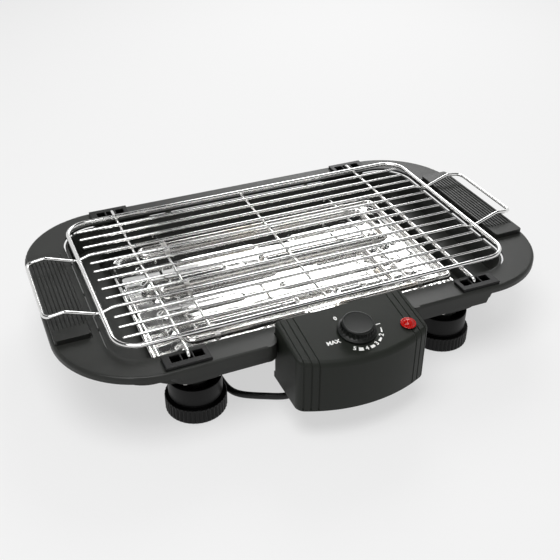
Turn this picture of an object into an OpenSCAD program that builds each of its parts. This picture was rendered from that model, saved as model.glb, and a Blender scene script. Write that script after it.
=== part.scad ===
// Electric table grill: a shallow plastic tub on four twist-on feet, a drip tray,
// a lift-out heating unit with a control box, and a wire rack that lifts off.
// Millimetres, +Z up, the table is z = 0 and the control box faces -Y.

/* [Tub] */
// Length of the rim from end to end
rim_l = 494; // [460:1:560]
// Depth of the rim from front to back
rim_w = 296; // [294:1:340]
// Radius of the rim's corners
rim_r = 85; // [50:1:110]
// Height of the rim's top face above the table
rim_top = 79.5; // [78:0.5:88]
// Thickness of the rim plate and of the tub's walls
wall = 2.5; // [2:0.1:3.5]
// Radius of the rim's rounded outer edge
rim_edge = 3; // [3:0.5:4]
// Radius of the rim's corners beside the control box
notch_r = 12; // [8:0.5:16]
// Height of the lip that hangs round the rim
lip_h = 6.5; // [6:0.5:9]
// Height of the aprons at the front and the back
apron_h = 16.5; // [16.5:0.5:20]
// Distance from the middle to the aprons' ends, along the length
apron_x = 158; // [150:1:160]
// Length of the well's opening
well_l = 409; // [404:1:420]
// Depth of the well's opening
well_w = 244; // [240:1:248]
// Radius of the well's corners
well_r = 36; // [24:1:44]
// Width of the step round the well's opening
step_w = 4; // [3:0.5:5]
// Depth of the step round the well's opening
step_d = 3; // [2:0.5:4]
// Depth of the ledge inside the well, below the rim's top
ledge_d = 28; // [27:0.5:30]
// Length of the tray pocket in the tub's floor
pocket_l = 344; // [340:1:356]
// Depth of the tray pocket in the tub's floor
pocket_w = 226; // [222:1:228]
// Radius of the pocket's corners
pocket_r = 30; // [20:1:40]
// Depth of the tray pocket below the ledge
pocket_d = 11.5; // [10.5:0.5:12]
// Thickness of the stiffening ribs under the rim
rib_t = 2; // [1.5:0.1:3]

/* [Legs and feet] */
// Distance from the middle to the legs, along the length
leg_x = 131; // [128:0.5:138]
// Distance from the middle to the legs, front to back
leg_y = 105.5; // [104:0.5:108]
// Length of the housing above each leg
pod_l = 50; // [46:1:54]
// Distance from the middle to the leg housing's outer wall
pod_reach = 131.5; // [130:0.5:134]
// Depth of the hollow in the leg housing, below the rim's top
pod_d = 27; // [25:0.5:30]
// Outer radius of the ribbed grip ring
foot_r = 28.7; // [27.5:0.1:30]
// Height of the ribbed grip ring
ring_h = 16; // [14:0.5:17]
// Number of ribs on the grip ring
rib_count = 44; // [24:1:48]
// Depth of the grip ring's ribs
rib_d = 0.9; // [0.5:0.1:1.2]
// Outer radius of the smooth collar
collar_r = 25; // [24:0.1:26.5]
// Thickness of the collar's wall
collar_t = 2.4; // [2:0.1:3]
// Radius of the pin that each foot turns on
leg_pin_r = 12; // [10:0.1:13]
// Radius of the leg above the pin
leg_r = 17; // [15:0.1:18]
// Thickness of the rubber pad under a foot
sole_t = 2.5; // [2:0.1:4]

/* [Grip pads and rack seats] */
// Width of a grip pad
pad_w = 32; // [30:0.5:33]
// Length of a grip pad, front to back
pad_len = 148; // [130:1:154]
// Height of a grip pad above the rim
pad_h = 5; // [4:0.5:5.5]
// Number of ridges on a grip pad
ridge_count = 7; // [4:1:8]
// Length of the ridges
ridge_l = 116; // [90:1:120]
// Depth of the furrows between the ridges
ridge_d = 1.3; // [0.8:0.1:1.8]
// Length of a rack seat
seat_l = 41; // [38:0.5:44]
// Width of a rack seat
seat_w = 17; // [16:0.5:17.5]
// Distance from the middle to a rack seat's inner edge
seat_y = 127.5; // [127:0.5:128]
// Height of a rack seat above the rim
seat_h = 3; // [2:0.1:3.1]
// Pitch of the three pockets in a rack seat
slot_pitch = 10.3; // [9.8:0.1:11]
// Width of a pocket in a rack seat
slot_w = 8.7; // [8:0.1:9]
// Depth of the shallowest pocket
slot_d = 9; // [8:0.5:10]
// How much deeper the next pocket is
slot_drop = 2; // [1:0.5:2.5]

/* [Drip tray] */
// Length of the drip tray
tray_l = 326; // [310:1:330]
// Depth of the drip tray
tray_w = 212; // [200:1:214]
// Radius of the drip tray's corners
tray_r = 26; // [16:1:34]
// Height of the drip tray
tray_h = 5; // [4.5:0.5:6.5]
// Thickness of the tray's sheet
sheet_t = 0.8; // [0.6:0.1:1.2]
// Width of an embossed bar
boss_w = 15; // [12:0.5:18]
// Height of an embossed bar
boss_h = 3; // [2:0.5:4]
// Number of rows of embossed bars
boss_rows = 6; // [3:1:6]
// Distance between the rows of embossed bars
boss_pitch = 29; // [26:0.5:30]

/* [Rack] */
// Height of the bars' undersides above the rim's top
rack_rise = 6.5; // [6.5:0.5:10]
// Pitch of the bars
bar_pitch = 16; // [15:0.25:16.5]
// Diameter of a bar
bar_d = 3; // [2.5:0.1:3.4]
// Length of a bar
bar_l = 378.5; // [370:0.5:384]
// Length of the frame wire's loop, on its centre line
frame_l = 396; // [393:0.5:400]
// Depth of the frame wire's loop, on its centre line
frame_w = 226; // [223:0.5:228]
// Radius of the loop's corners, on the centre line
frame_r = 23; // [16:1:30]
// Diameter of the frame wire
frame_d = 4.5; // [4:0.1:5]
// Diameter of the cross wires
cross_d = 3.2; // [3:0.1:3.8]
// Diameter of the handle wire
handle_d = 3.6; // [3.2:0.1:4]
// Distance from the middle to the outer cross wires
cross_x = 143; // [141:0.5:146]
// Distance from the middle to the legs of the outer cross wires
cross_reach = 135; // [134:0.5:136]
// How far the wires sink into each other where they are welded
weld = 0.3; // [0.1:0.1:0.5]
// Half the length of the handle loop
grip_x = 247; // [245:0.1:252]
// Height of the handle's outer run above the bars' undersides
grip_rise = 6; // [4:0.5:9]

/* [Heating unit] */
// Width of the control box
box_w = 127; // [120:1:132]
// Distance from the middle to the control box's back
box_back = 131; // [130.5:0.5:132]
// Distance from the middle to the furthest point of the control box's front
box_front = 197.5; // [196:0.5:206]
// Radius of the bowed front
bow_r = 140; // [130:1:200]
// Radius of the control box's front corners
box_r = 10; // [8:0.5:14]
// Height of the control box's back edge above the rim's top
box_rise = 13; // [12.5:0.5:15]
// Slope of the control box's top, in degrees
box_tilt = 9; // [6:0.5:10]
// Height of the control box at its back
box_h = 62; // [60:0.5:64]
// Thickness of the control box's walls
box_wall = 2.4; // [2:0.1:2.6]
// Width of the decorative grooves
groove_w = 1.6; // [1:0.1:2]
// Depth of the decorative grooves
groove_d = 0.7; // [0.5:0.1:1.2]
// Pitch of the decorative grooves
groove_pitch = 6.2; // [5:0.1:7]
// Height of the heating tube's centre line above the ledge
tube_rise = 15; // [14:0.5:16]
// Diameter of the heating tube
tube_d = 6.5; // [6:0.1:7]
// Distance between the two tubes of a hairpin
hairpin = 12; // [11:0.5:13]
// Distance between the hairpins
row_pitch = 78; // [74:1:79]
// Diameter of the support rods
rod_d = 3; // [2.5:0.1:3.5]
// Distance from the middle to the support rods
rod_x = 105; // [100:1:112]

/* [Knob and lamp] */
// Distance from the middle to the knob's axis
knob_y = 165; // [163:0.5:168]
// Radius of the knob's cap
knob_r = 14; // [13:0.5:16]
// Height of the knob
knob_h = 10.5; // [9:0.5:13]
// Radius of the knob's flange
flange_r = 17.4; // [16.5:0.1:19]
// Number of flutes round the knob
flute_count = 24; // [16:1:32]
// Radius of the knob's shaft
shaft_r = 3; // [2.5:0.1:3.5]
// Distance of the lamp from the middle, along the length
lamp_x = 47; // [45:0.5:50]
// Radius of the lamp's lens
lamp_r = 6.2; // [5.5:0.1:6.5]

/* [Cord] */
// Diameter of the mains lead
cord_d = 6.4; // [6:0.1:7]
// Turns of the put-away coil in each of its two layers
coil_turns = 2; // [1:1:3]
// Outer radius of the coil, on the lead's centre line
coil_r = 42; // [40:1:46]
// Diameter of a plug pin
pin_d = 4.8; // [4:0.1:4.8]
// Distance between the plug pins
pin_pitch = 19; // [19:0.1:19.1]

/* [Hidden] */
$fn = 64;

// Clearances between pieces
gap = 0.4;
play = 0.06;
eps = 0.02;
rest = 0.3;

// The origin lies under the middle of the whole grill, control box included
shift_y = (box_front - rim_w / 2) / 2;
corners = [[-1, -1], [1, -1], [-1, 1], [1, 1]];

// Derived heights and places of the tub
lip_z = rim_top - lip_h;
ledge_z = rim_top - ledge_d;
floor_z = ledge_z - pocket_d;
pod_z = rim_top - pod_d;
collar_top = floor_z - wall - 1;
seat_x = cross_x + 2.5;
pad_x = rim_l / 2 - pad_w / 2 - 3;
pin_z = 8;
rib_x = rim_l / 2 - 57;
rib_in = 46;
screw_y = pad_len / 2 - 24;

// Derived heights of the rack
rack_z = rim_top + rack_rise;
bar_z = rack_z + bar_d / 2;
frame_z = rack_z + frame_d / 2;
cross_z = rack_z - cross_d / 2 + weld;
handle_z = rack_z + handle_d / 2 - weld;
handle_low = rack_z - handle_d / 2 + weld;
handle_y = 3 * bar_pitch;
bar_rows = 6;

// Derived places of the control box, whose top slopes down to the front
box_top = rim_top + box_rise;
box_z = box_top - box_h;
tube_z = ledge_z + tube_rise;
neck_z = tube_z - 9;

knob_at = [0, -knob_y, box_top - (knob_y - box_back) * tan(box_tilt)];
lamp_y = knob_y + 8;
lamp_at = [lamp_x, -lamp_y, box_top - (lamp_y - box_back) * tan(box_tilt)];

function unit(v) = v / norm(v);
function sum_to(v, n) = n < 0 ? 0 : v[n] + sum_to(v, n - 1);

// Points of an arc that rounds the corner b of the path a, b, c
function corner(a, b, c, r, n) =
    let (
        u = unit(a - b), w = unit(c - b), half = acos(u * w) / 2,
        m = b + unit(u + w) * r / sin(half),
        p = b + u * r / tan(half) - m, q = b + w * r / tan(half) - m,
        sweep = 180 - 2 * half
    )
    [for (k = [0:n]) m + (sin(sweep * (1 - k / n)) * p + sin(sweep * k / n) * q) / sin(sweep)];

// A path with its inner corners rounded to radius r, each by n steps
function rounded_path(pts, r, n) = concat(
    [pts[0]],
    [for (i = [1:len(pts) - 2]) each corner(pts[i - 1], pts[i], pts[i + 1], r, n)],
    [pts[len(pts) - 1]]);

// A closed loop with every corner rounded
function rounded_loop(pts, r, n) =
    let (c = len(pts))
    [for (i = [0:c - 1]) each corner(pts[(i + c - 1) % c], pts[i], pts[(i + 1) % c], r, n)];

function heading(path, i, closed) =
    let (c = len(path), before = closed ? (i + c - 1) % c : max(i - 1, 0),
         after = closed ? (i + 1) % c : min(i + 1, c - 1))
    unit(path[after] - path[before]);

function ring_at(p, t, up, r, sides) =
    let (s = unit(cross(up, t)), u = cross(t, s))
    [for (k = [0:sides - 1]) p + r * (cos(360 * k / sides) * s + sin(360 * k / sides) * u)];

// A round tube carried along a path; up is a direction the path never takes
module tube(path, d, up = [0, 0, 1], closed = false, sides = 12) {
    count = len(path);
    rings = closed ? count : count - 1;
    skin = [for (i = [0:rings - 1], k = [0:sides - 1])
        let (a = i * sides + k, b = i * sides + (k + 1) % sides,
             c = ((i + 1) % count) * sides + (k + 1) % sides, e = ((i + 1) % count) * sides + k)
        each [[a, c, b], [a, e, c]]];
    start = [for (k = [1:sides - 2]) [0, k, k + 1]];
    last = (count - 1) * sides;
    end = [for (k = [1:sides - 2]) [last, last + k + 1, last + k]];
    polyhedron(
        [for (i = [0:count - 1]) each ring_at(path[i], heading(path, i, closed), up, d / 2, sides)],
        closed ? skin : concat(skin, start, end), convexity = 8);
}

// A straight round rod between two points
module rod(a, b, d) {
    v = b - a;
    translate(a) rotate([0, acos(v.z / norm(v)), atan2(v.y, v.x)]) cylinder(h = norm(v), d = d);
}

// Plan of a rectangle with round corners
module plan(l, w, r) {
    square([l - 2 * r, w], center = true);
    square([l, w - 2 * r], center = true);
    for (c = corners) translate([c.x * (l / 2 - r), c.y * (w / 2 - r)]) circle(r);
}

module slab(l, w, r, z0, z1) {
    translate([0, 0, z0]) linear_extrude(z1 - z0) plan(l, w, r);
}

module box_between(x0, x1, y0, y1, z0, z1) {
    translate([x0, y0, z0]) cube([x1 - x0, y1 - y0, z1 - z0]);
}

module placed() {
    translate([0, shift_y, 0]) children();
}

// Places its children at a leg, mirrored into the named corner
module at_corner(c) {
    placed() mirror([c.x < 0 ? 1 : 0, 0, 0]) mirror([0, c.y < 0 ? 1 : 0, 0]) children();
}

// The tub's outside below the rim, made bigger by grow
module tub_form(grow) {
    slab(well_l - 2 * step_w + 2 * grow, well_w - 2 * step_w + 2 * grow, well_r - step_w + grow,
        ledge_z - grow, rim_top);
    slab(pocket_l + 2 * grow, pocket_w + 2 * grow, pocket_r + grow, floor_z - grow, rim_top);
}

module pod(grow) {
    depth = pod_reach - leg_y + leg_r + 2;
    translate([leg_x, pod_reach - depth / 2, pod_z - grow])
        linear_extrude(rim_top - wall - pod_z + grow + eps)
            plan(pod_l + 2 * grow, depth + 2 * grow, 16 + grow);
}

// Stiffening ribs between the tub and the lip
module ribs() {
    intersection() {
        slab(rim_l - wall, rim_w - wall, rim_r - wall / 2, lip_z + 1, rim_top - wall + eps);
        union() {
            for (x = [-rib_x, rib_in - leg_x, leg_x - rib_in, rib_x])
                box_between(x - rib_t / 2, x + rib_t / 2, -rim_w, rim_w, 0, rim_top);
            for (y = [-leg_y + rib_in, 0, leg_y - rib_in])
                box_between(-rim_l, rim_l, y - rib_t / 2, y + rib_t / 2, 0, rim_top);
        }
    }
}

// Part of an apron between two depths below the rim; its ends are slanted
module apron_face(from, to) {
    polygon([for (p = [[-1, from], [1, from], [1, to], [-1, to]])
        [p.x * (apron_x - 0.4 * p.y), rim_top - p.y]]);
}

// Taller straight walls along the front and the back, with a fine step along them
module aprons() {
    for (m = [0, 1]) mirror([0, m, 0]) translate([0, wall - rim_w / 2, 0]) rotate([90, 0, 0]) {
        linear_extrude(wall) apron_face(rim_edge, apron_h - 6);
        linear_extrude(wall - 0.7) apron_face(apron_h - 6 - eps, apron_h);
    }
}

// Cross-section of the rim's outer edge: plate, rounded edge and lip
module rim_section() {
    translate([-24, rim_top - wall]) square([24 - rim_edge, wall]);
    translate([-rim_edge, rim_top - rim_edge]) intersection() {
        difference() {
            circle(rim_edge);
            square(rim_edge - wall);
        }
        square(rim_edge + 1);
    }
    translate([-wall, lip_z]) square([wall, lip_h - rim_edge]);
}

module rim_ring() {
    side = rim_w - 2 * rim_r;
    length = rim_l - 2 * rim_r;
    for (i = [0:3]) {
        a = 45 + 90 * i;
        translate([sign(cos(a)) * length / 2, sign(sin(a)) * side / 2, 0])
            rotate([0, 0, 90 * i]) rotate_extrude(angle = 90) translate([rim_r, 0]) rim_section();
    }
    for (m = [0, 1]) {
        mirror([0, m, 0]) translate([-length / 2, rim_w / 2, 0]) rotate([90, 0, 90])
            linear_extrude(length) rim_section();
        mirror([m, 0, 0]) translate([rim_l / 2, side / 2, 0]) rotate([90, 0, 0])
            linear_extrude(side) rim_section();
    }
    slab(rim_l - 40, rim_w - 40, rim_r - 20, rim_top - wall, rim_top);
}

// Plan of the rim's cut-out for the control box, made bigger by grow
module notch_plan(grow) {
    half = box_w / 2 + gap + grow;
    centre = box_w / 2 + gap + notch_r;
    translate([-half, -rim_w]) square([2 * half, rim_w - box_back + gap + grow]);
    for (s = [-1, 1]) difference() {
        translate([s > 0 ? 0 : -centre, -rim_w]) square([centre, rim_w / 2 + notch_r]);
        translate([s * centre, notch_r - rim_w / 2]) circle(notch_r - grow);
    }
}

module seat_body(grow) {
    box_between(seat_x - seat_l / 2 + 2 - grow, seat_x + seat_l / 2 - 2 + grow,
        seat_y + 1 - grow, seat_y + 12 + grow,
        rim_top - slot_d - 2 * slot_drop - 1 - grow, rim_top + eps);
}

module base_body() {
    color([0.22, 0.23, 0.22]) placed() difference() {
        union() {
            // Rim plate with its lip and aprons, which also follow the control box's cut-out
            rim_ring();
            aprons();
            translate([0, 0, rim_top - apron_h]) linear_extrude(apron_h) intersection() {
                plan(rim_l - 1, rim_w - 1, rim_r - 0.5);
                notch_plan(wall);
            }
            tub_form(wall);
            for (c = corners) mirror([c.x < 0 ? 1 : 0, 0, 0]) mirror([0, c.y < 0 ? 1 : 0, 0]) {
                difference() {
                    pod(wall);
                    pod(0);
                }
                translate([leg_x, leg_y, collar_top + 1]) cylinder(h = pod_z - collar_top, r = leg_r);
                translate([leg_x, leg_y, pin_z]) cylinder(h = pod_z - pin_z, r = leg_pin_r);
            }
            ribs();
        }
        // The well, its step and the tray pocket
        tub_form(0);
        slab(well_l, well_w, well_r, rim_top - step_d, rim_top + 1);
        // Room for the control box and its neck
        translate([0, 0, -1]) linear_extrude(rim_top + 2) notch_plan(0);
        box_between(-42, 42, -rim_w / 2, -well_w / 2 + step_w + 1, neck_z - rest, rim_top + 1);
        // Openings for the rack seats
        for (c = corners) mirror([c.x < 0 ? 1 : 0, 0, 0]) mirror([0, c.y < 0 ? 1 : 0, 0])
            seat_body(0.2);
        // Blind holes up the legs and holes for the leg screws
        for (c = corners) translate([c.x * leg_x, c.y * leg_y, pin_z - 1])
            cylinder(h = 22, r = leg_pin_r - 3);
        // Shadow groove along the inner edge of each grip pad
        for (s = [-1, 1])
            box_between(s * (pad_x - pad_w / 2) - 1.2, s * (pad_x - pad_w / 2) + 1.2,
                -pad_len / 2, pad_len / 2, rim_top - 1.2, rim_top + 1);
        // Screw holes under the grip pads
        for (s = [-1, 1], y = [-screw_y, screw_y]) translate([s * pad_x, y, rim_top - wall - 1])
            cylinder(h = wall + 2, r = 2);
    }
}

// A rack seat with three pockets of different depth; the depths step the same way at
// both ends, so the rack sits level when it is moved along by one pocket
module bracket(side) {
    difference() {
        union() {
            box_between(seat_x - seat_l / 2, seat_x + seat_l / 2, seat_y, seat_y + seat_w,
                rim_top + eps, rim_top + seat_h);
            seat_body(0);
        }
        for (i = [-1, 0, 1])
            box_between(seat_x - 1 + slot_pitch * i - slot_w / 2, seat_x - 1 + slot_pitch * i + slot_w / 2,
                seat_y + 2, seat_y + 2 + slot_w,
                rim_top - slot_d - slot_drop * (1 - i * side), rim_top + seat_h + 1);
    }
}

module bracket_at(c) {
    color([0.20, 0.21, 0.20]) at_corner(c) bracket(c.x);
}
module bracket_fl() { bracket_at(corners[0]); }
module bracket_fr() { bracket_at(corners[1]); }
module bracket_bl() { bracket_at(corners[2]); }
module bracket_br() { bracket_at(corners[3]); }

module grip_pad() {
    pitch = (pad_w - 6) / ridge_count;
    difference() {
        union() {
            translate([pad_x, 0, rim_top + eps]) linear_extrude(pad_h - eps) plan(pad_w, pad_len, 3);
            for (y = [-screw_y, screw_y]) translate([pad_x, y, rim_top - wall]) cylinder(h = wall + 1, r = 1.9);
        }
        for (i = [0:ridge_count])
            box_between(pad_x - pad_w / 2 + 3 + i * pitch - 0.6, pad_x - pad_w / 2 + 3 + i * pitch + 0.6,
                -ridge_l / 2, ridge_l / 2, rim_top + pad_h - ridge_d, rim_top + pad_h + 1);
    }
}
module grip_pad_right() { color([0.25, 0.26, 0.25]) placed() grip_pad(); }
module grip_pad_left() { color([0.25, 0.26, 0.25]) placed() mirror([1, 0, 0]) grip_pad(); }

// Screws up through the rim into the grip pads
module grip_screws() {
    color("silver") placed() for (s = [-1, 1], y = [-screw_y, screw_y]) translate([s * pad_x, y, rim_top - wall])
        mirror([0, 0, 1]) difference() {
            cylinder(h = 2, r = 3.4);
            translate([-3, -0.4, 1.2]) cube([6, 0.8, 1]);
            translate([-0.4, -3, 1.2]) cube([0.8, 6, 1]);
        }
}

// Screws beside each leg, under its housing
module leg_screws() {
    color("silver") placed() for (c = corners, s = [-1, 1])
        translate([c.x * (leg_x + s * (leg_r - 2)), c.y * (well_w / 2 + wall + 3.5), pod_z - wall])
            mirror([0, 0, 1]) difference() {
                cylinder(h = 2, r = 3);
                translate([-2.6, -0.4, 1.2]) cube([5.2, 0.8, 1]);
            }
}

// A foot: ribbed grip ring, groove, smooth collar and the bore that turns on the leg
module foot() {
    teeth = [for (i = [0:4 * rib_count - 1])
        let (a = 360 * i / (4 * rib_count), r = foot_r - (floor(i / 2) % 2) * rib_d)
        [r * cos(a), r * sin(a)]];
    translate([leg_x, leg_y, 0]) difference() {
        union() {
            translate([0, 0, 0.8]) linear_extrude(ring_h - 0.8) polygon(teeth);
            translate([0, 0, ring_h - 1]) cylinder(h = 3.6, r = collar_r - 1.6);
            translate([0, 0, ring_h + 2.4]) cylinder(h = collar_top - ring_h - 2.4, r = collar_r);
        }
        translate([0, 0, ring_h + 4]) cylinder(h = collar_top, r = collar_r - collar_t);
        translate([0, 0, pin_z - 0.5]) cylinder(h = collar_top, r = leg_pin_r + play);
        translate([0, 0, -1]) cylinder(h = 1 + sole_t, r = foot_r - 5);
    }
}
module foot_at(c) { color([0.13, 0.14, 0.13]) at_corner(c) foot(); }
module foot_fl() { foot_at(corners[0]); }
module foot_fr() { foot_at(corners[1]); }
module foot_bl() { foot_at(corners[2]); }
module foot_br() { foot_at(corners[3]); }

module sole_at(c) {
    color([0.08, 0.08, 0.08]) at_corner(c) translate([leg_x, leg_y, 0]) difference() {
        cylinder(h = sole_t - eps, r = foot_r - 5.1);
        for (r = [9, 16]) translate([0, 0, -1]) difference() {
            cylinder(h = 1.8, r = r + 1);
            translate([0, 0, -1]) cylinder(h = 4, r = r - 1);
        }
    }
}
module sole_fl() { sole_at(corners[0]); }
module sole_fr() { sole_at(corners[1]); }
module sole_bl() { sole_at(corners[2]); }
module sole_br() { sole_at(corners[3]); }

// Plan of one embossed bar with round ends
module bar_plan(x0, x1, y, w) {
    translate([(x0 + x1) / 2, y]) plan(x1 - x0, w, w / 2 - 0.01);
}

// The rows of embossed bars are broken by a gap that steps from side to side
module emboss(shrink, z0, z1) {
    reach = tray_l / 2 - 26;
    for (i = [0:boss_rows - 1]) {
        y = (i - (boss_rows - 1) / 2) * boss_pitch;
        mid = i % 2 == 0 ? -26 : 20;
        translate([0, 0, z0]) linear_extrude(z1 - z0) {
            bar_plan(-reach + shrink, mid - 20 - shrink, y, boss_w - 2 * shrink);
            bar_plan(mid + 20 + shrink, reach - shrink, y, boss_w - 2 * shrink);
        }
    }
}

module drip_tray() {
    z = floor_z + rest;
    flange = 5;
    color("silver") placed() difference() {
        union() {
            slab(tray_l - 2 * flange, tray_w - 2 * flange, tray_r - flange, z, z + tray_h);
            slab(tray_l, tray_w, tray_r, z + tray_h - sheet_t, z + tray_h);
        }
        difference() {
            slab(tray_l - 2 * flange - 2 * sheet_t, tray_w - 2 * flange - 2 * sheet_t,
                tray_r - flange - sheet_t, z + sheet_t, z + tray_h + 1);
            emboss(0, z, z + sheet_t + boss_h);
        }
        emboss(sheet_t, z - 1, z + boss_h);
    }
}

// Outside of the control box, made smaller all round by inset
module box_form(inset, z0, z1) {
    half = box_w / 2;
    bow_y = bow_r - box_front;
    cr_x = half - box_r;
    cr_y = sqrt(pow(bow_r - box_r, 2) - cr_x * cr_x) - bow_y;
    // The bow ends a little short of the round corners, well clear of a grazing join
    touch = cr_x * (bow_r - inset) / (bow_r - box_r) - 0.4;
    translate([0, 0, z0]) linear_extrude(z1 - z0) {
        intersection() {
            translate([0, bow_y]) circle(bow_r - inset, $fn = 180);
            translate([-touch, -box_front - 1]) square([2 * touch, box_front - box_back + 1 - inset]);
        }
        translate([-half + inset, -cr_y]) square([2 * (half - inset), cr_y - box_back - inset]);
        for (s = [-1, 1]) translate([s * cr_x, -cr_y]) circle(box_r - inset);
    }
}

// Everything below the box's sloping top, sunk by inset
module under_slope(inset) {
    translate([0, -box_back, box_top - inset]) rotate([box_tilt, 0, 0])
        translate([-box_w, -2 * box_front, -3 * box_top]) cube([2 * box_w, 4 * box_front, 3 * box_top]);
}

module box_grooves() {
    for (s = [-1, 1], i = [0:2]) {
        x = s * (box_w / 2 - 4.5 - i * groove_pitch);
        translate([x, -box_back, box_top]) rotate([box_tilt, 0, 0])
            translate([-groove_w / 2, -box_front, -groove_d]) cube([groove_w, box_front * 2, 9]);
        translate([x, 0, box_z + 1.5]) difference() {
            translate([-groove_w / 2, -box_front - 1, 0])
                cube([groove_w, box_front - knob_y - 10, box_top - box_z]);
            translate([0, bow_r - box_front, -1]) cylinder(h = box_top, r = bow_r - groove_d, $fn = 180);
        }
    }
}

split_z = box_z + 6;

module control_cover() {
    color([0.20, 0.21, 0.20]) placed() difference() {
        intersection() {
            box_form(0, split_z, box_top + 10);
            under_slope(0);
        }
        intersection() {
            box_form(box_wall, split_z - 1, box_top + 10);
            under_slope(box_wall);
        }
        box_grooves();
        // Hole for the shaft and seat for the lamp
        translate(knob_at) rotate([box_tilt, 0, 0]) translate([0, 0, -10]) cylinder(h = 20, r = shaft_r + 1);
        translate(lamp_at) rotate([box_tilt, 0, 0]) translate([0, 0, -10]) cylinder(h = 20, r = lamp_r - 1);
        // The neck of the heating unit leaves through the back
        box_between(-38, 38, -box_back - box_wall - 1, -box_back + 1, neck_z - 1, neck_z + 21);
    }
}

// Lower shell with the cord's way out at the back of its underside
relief_a = [-30, -146, box_z + 5];
relief_b = [-39, -141, 17];
module control_tub() {
    color([0.20, 0.21, 0.20]) placed() difference() {
        union() {
            difference() {
                box_form(0, box_z, split_z - eps);
                box_form(box_wall, box_z + box_wall, split_z + 1);
            }
            for (s = [-1, 1]) translate([s * 40, -178, box_z]) cylinder(h = split_z - box_z, r = 4);
            translate([0, -140, box_z]) cylinder(h = split_z - box_z, r = 4);
            rod(relief_a, relief_a + (relief_b - relief_a) * 0.6, 12.4);
        }
        rod(relief_a + (relief_a - relief_b) * 0.4, relief_b, 9.6);
        box_between(-box_w, box_w, -box_front, 0, 0, box_z - 5);
        box_grooves();
        for (p = [[-40, -178], [40, -178], [0, -140]])
            translate([p.x, p.y, box_z - 1]) cylinder(h = 5, r = 3.4);
        // Louvres in the underside
        for (i = [-3:3]) box_between(i * 7 - 1.2, i * 7 + 1.2, -180, -150, box_z - 1, box_z + box_wall + 1);
    }
}

module cover_screws() {
    color("silver") placed() for (p = [[-40, -178], [40, -178], [0, -140]])
        translate([p.x, p.y, box_z + 1.2]) difference() {
            cylinder(h = 2.8 - eps, r = 3.2);
            translate([-2.6, -0.4, -1]) cube([5.2, 0.8, 2]);
            translate([-0.4, -2.6, -1]) cube([0.8, 5.2, 2]);
        }
}

module on_top(p) {
    placed() translate(p) rotate([box_tilt, 0, 0]) children();
}

// Regulator under the cover, with the bush that the shaft turns in
module thermostat() {
    color("tan") on_top(knob_at) difference() {
        union() {
            translate([-14, -11, -27]) cube([28, 22, 14]);
            translate([0, 0, -13 - eps]) cylinder(h = 10, r = 5.5);
            for (s = [-1, 1]) translate([s * 17 - 3, -3, -25]) cube([6, 6, 0.8]);
        }
        translate([0, 0, -20]) cylinder(h = 20, r = shaft_r + play);
    }
}

module knob_shaft() {
    color("silver") on_top(knob_at) union() {
        translate([0, 0, -19.5]) cylinder(h = 20.5, r = shaft_r);
        translate([0, 0, 0.5]) difference() {
            cylinder(h = 6, r = shaft_r);
            translate([1.6, -5, 1]) cube([5, 10, 7]);
        }
    }
}

module knob() {
    skirt = 2.4;
    color([0.12, 0.13, 0.12]) on_top(knob_at) difference() {
        union() {
            translate([0, 0, 0.4]) cylinder(h = skirt, r = flange_r);
            translate([0, 0, 0.4 + skirt - eps]) cylinder(h = knob_h - skirt - 1.4, r1 = knob_r + 1, r2 = knob_r);
            translate([0, 0, knob_h - 1.1]) cylinder(h = 1.1, r1 = knob_r, r2 = knob_r - 1);
        }
        for (i = [0:flute_count - 1]) rotate([0, 0, 360 * i / flute_count])
            translate([knob_r + 1.6, 0, 0.8 + skirt]) cylinder(h = knob_h - skirt - 3.4, r = 1.3);
        translate([0, 0, -1]) difference() {
            cylinder(h = knob_h - 1.2, r = shaft_r + eps);
            translate([1.6 + eps, -5, 3]) cube([5, 10, 20]);
        }
        translate([0, 0, -1]) difference() {
            cylinder(h = knob_h - 2.4, r = knob_r - 2);
            translate([0, 0, -1]) cylinder(h = knob_h, r = shaft_r + 2.4);
        }
    }
}

module lamp_holder() {
    color([0.15, 0.15, 0.15]) on_top(lamp_at) difference() {
        union() {
            translate([0, 0, -16]) cylinder(h = 16.4, r = lamp_r - 1.2);
            translate([0, 0, 0.1]) cylinder(h = 0.9, r = lamp_r + 1);
        }
        translate([0, 0, -12]) cylinder(h = 20, r = lamp_r - 2.4);
    }
}

module lamp_lens() {
    rise = 3.4;
    ball = (lamp_r * lamp_r + rise * rise) / (2 * rise);
    color("red") on_top(lamp_at) {
        translate([0, 0, -3]) cylinder(h = 4.4, r = lamp_r - 2.5);
        intersection() {
            translate([0, 0, 1.02 + rise - ball]) sphere(ball);
            translate([0, 0, 1.02]) cylinder(h = rise + 1, r = lamp_r);
        }
    }
}

module terminal_block() {
    color("ivory") placed() translate([-33, -173, box_z + box_wall + eps]) difference() {
        union() {
            cube([30, 14, 10]);
            for (i = [0:2]) translate([1.5 + i * 10, 2, 9]) cube([7, 10, 5]);
        }
        for (i = [0:2]) {
            translate([5 + i * 10, -1, 5]) rotate([-90, 0, 0]) cylinder(h = 16, r = 1.8);
            translate([5 + i * 10, 7, 8]) cylinder(h = 8, r = 1.9);
        }
    }
}

module thermal_cutout() {
    color("silver") placed() translate([26, -142, tube_z - 12]) {
        rotate([90, 0, 0]) cylinder(h = 6, r = 7);
        translate([-2, -9.5, -3]) cube([4, 4, 6]);
    }
}

// The metal neck between the control box and the well
tail_x = 14;
module element_flange() {
    y0 = -box_back + box_wall;
    color("silver") placed() difference() {
        union() {
            box_between(-36, 36, y0 - 10, y0 - 8, neck_z, neck_z + 18);
            box_between(-36, 36, y0 - 10, -well_w / 2 - 1, neck_z, neck_z + 1.2);
            box_between(-36, 36, -well_w / 2 - 2.2, -well_w / 2 - 1, neck_z, neck_z + 18);
        }
        for (s = [-1, 1]) translate([s * tail_x, -box_back - 20, tube_z]) rotate([-90, 0, 0])
            cylinder(h = 60, r = tube_d / 2 + 0.02);
    }
}

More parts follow.
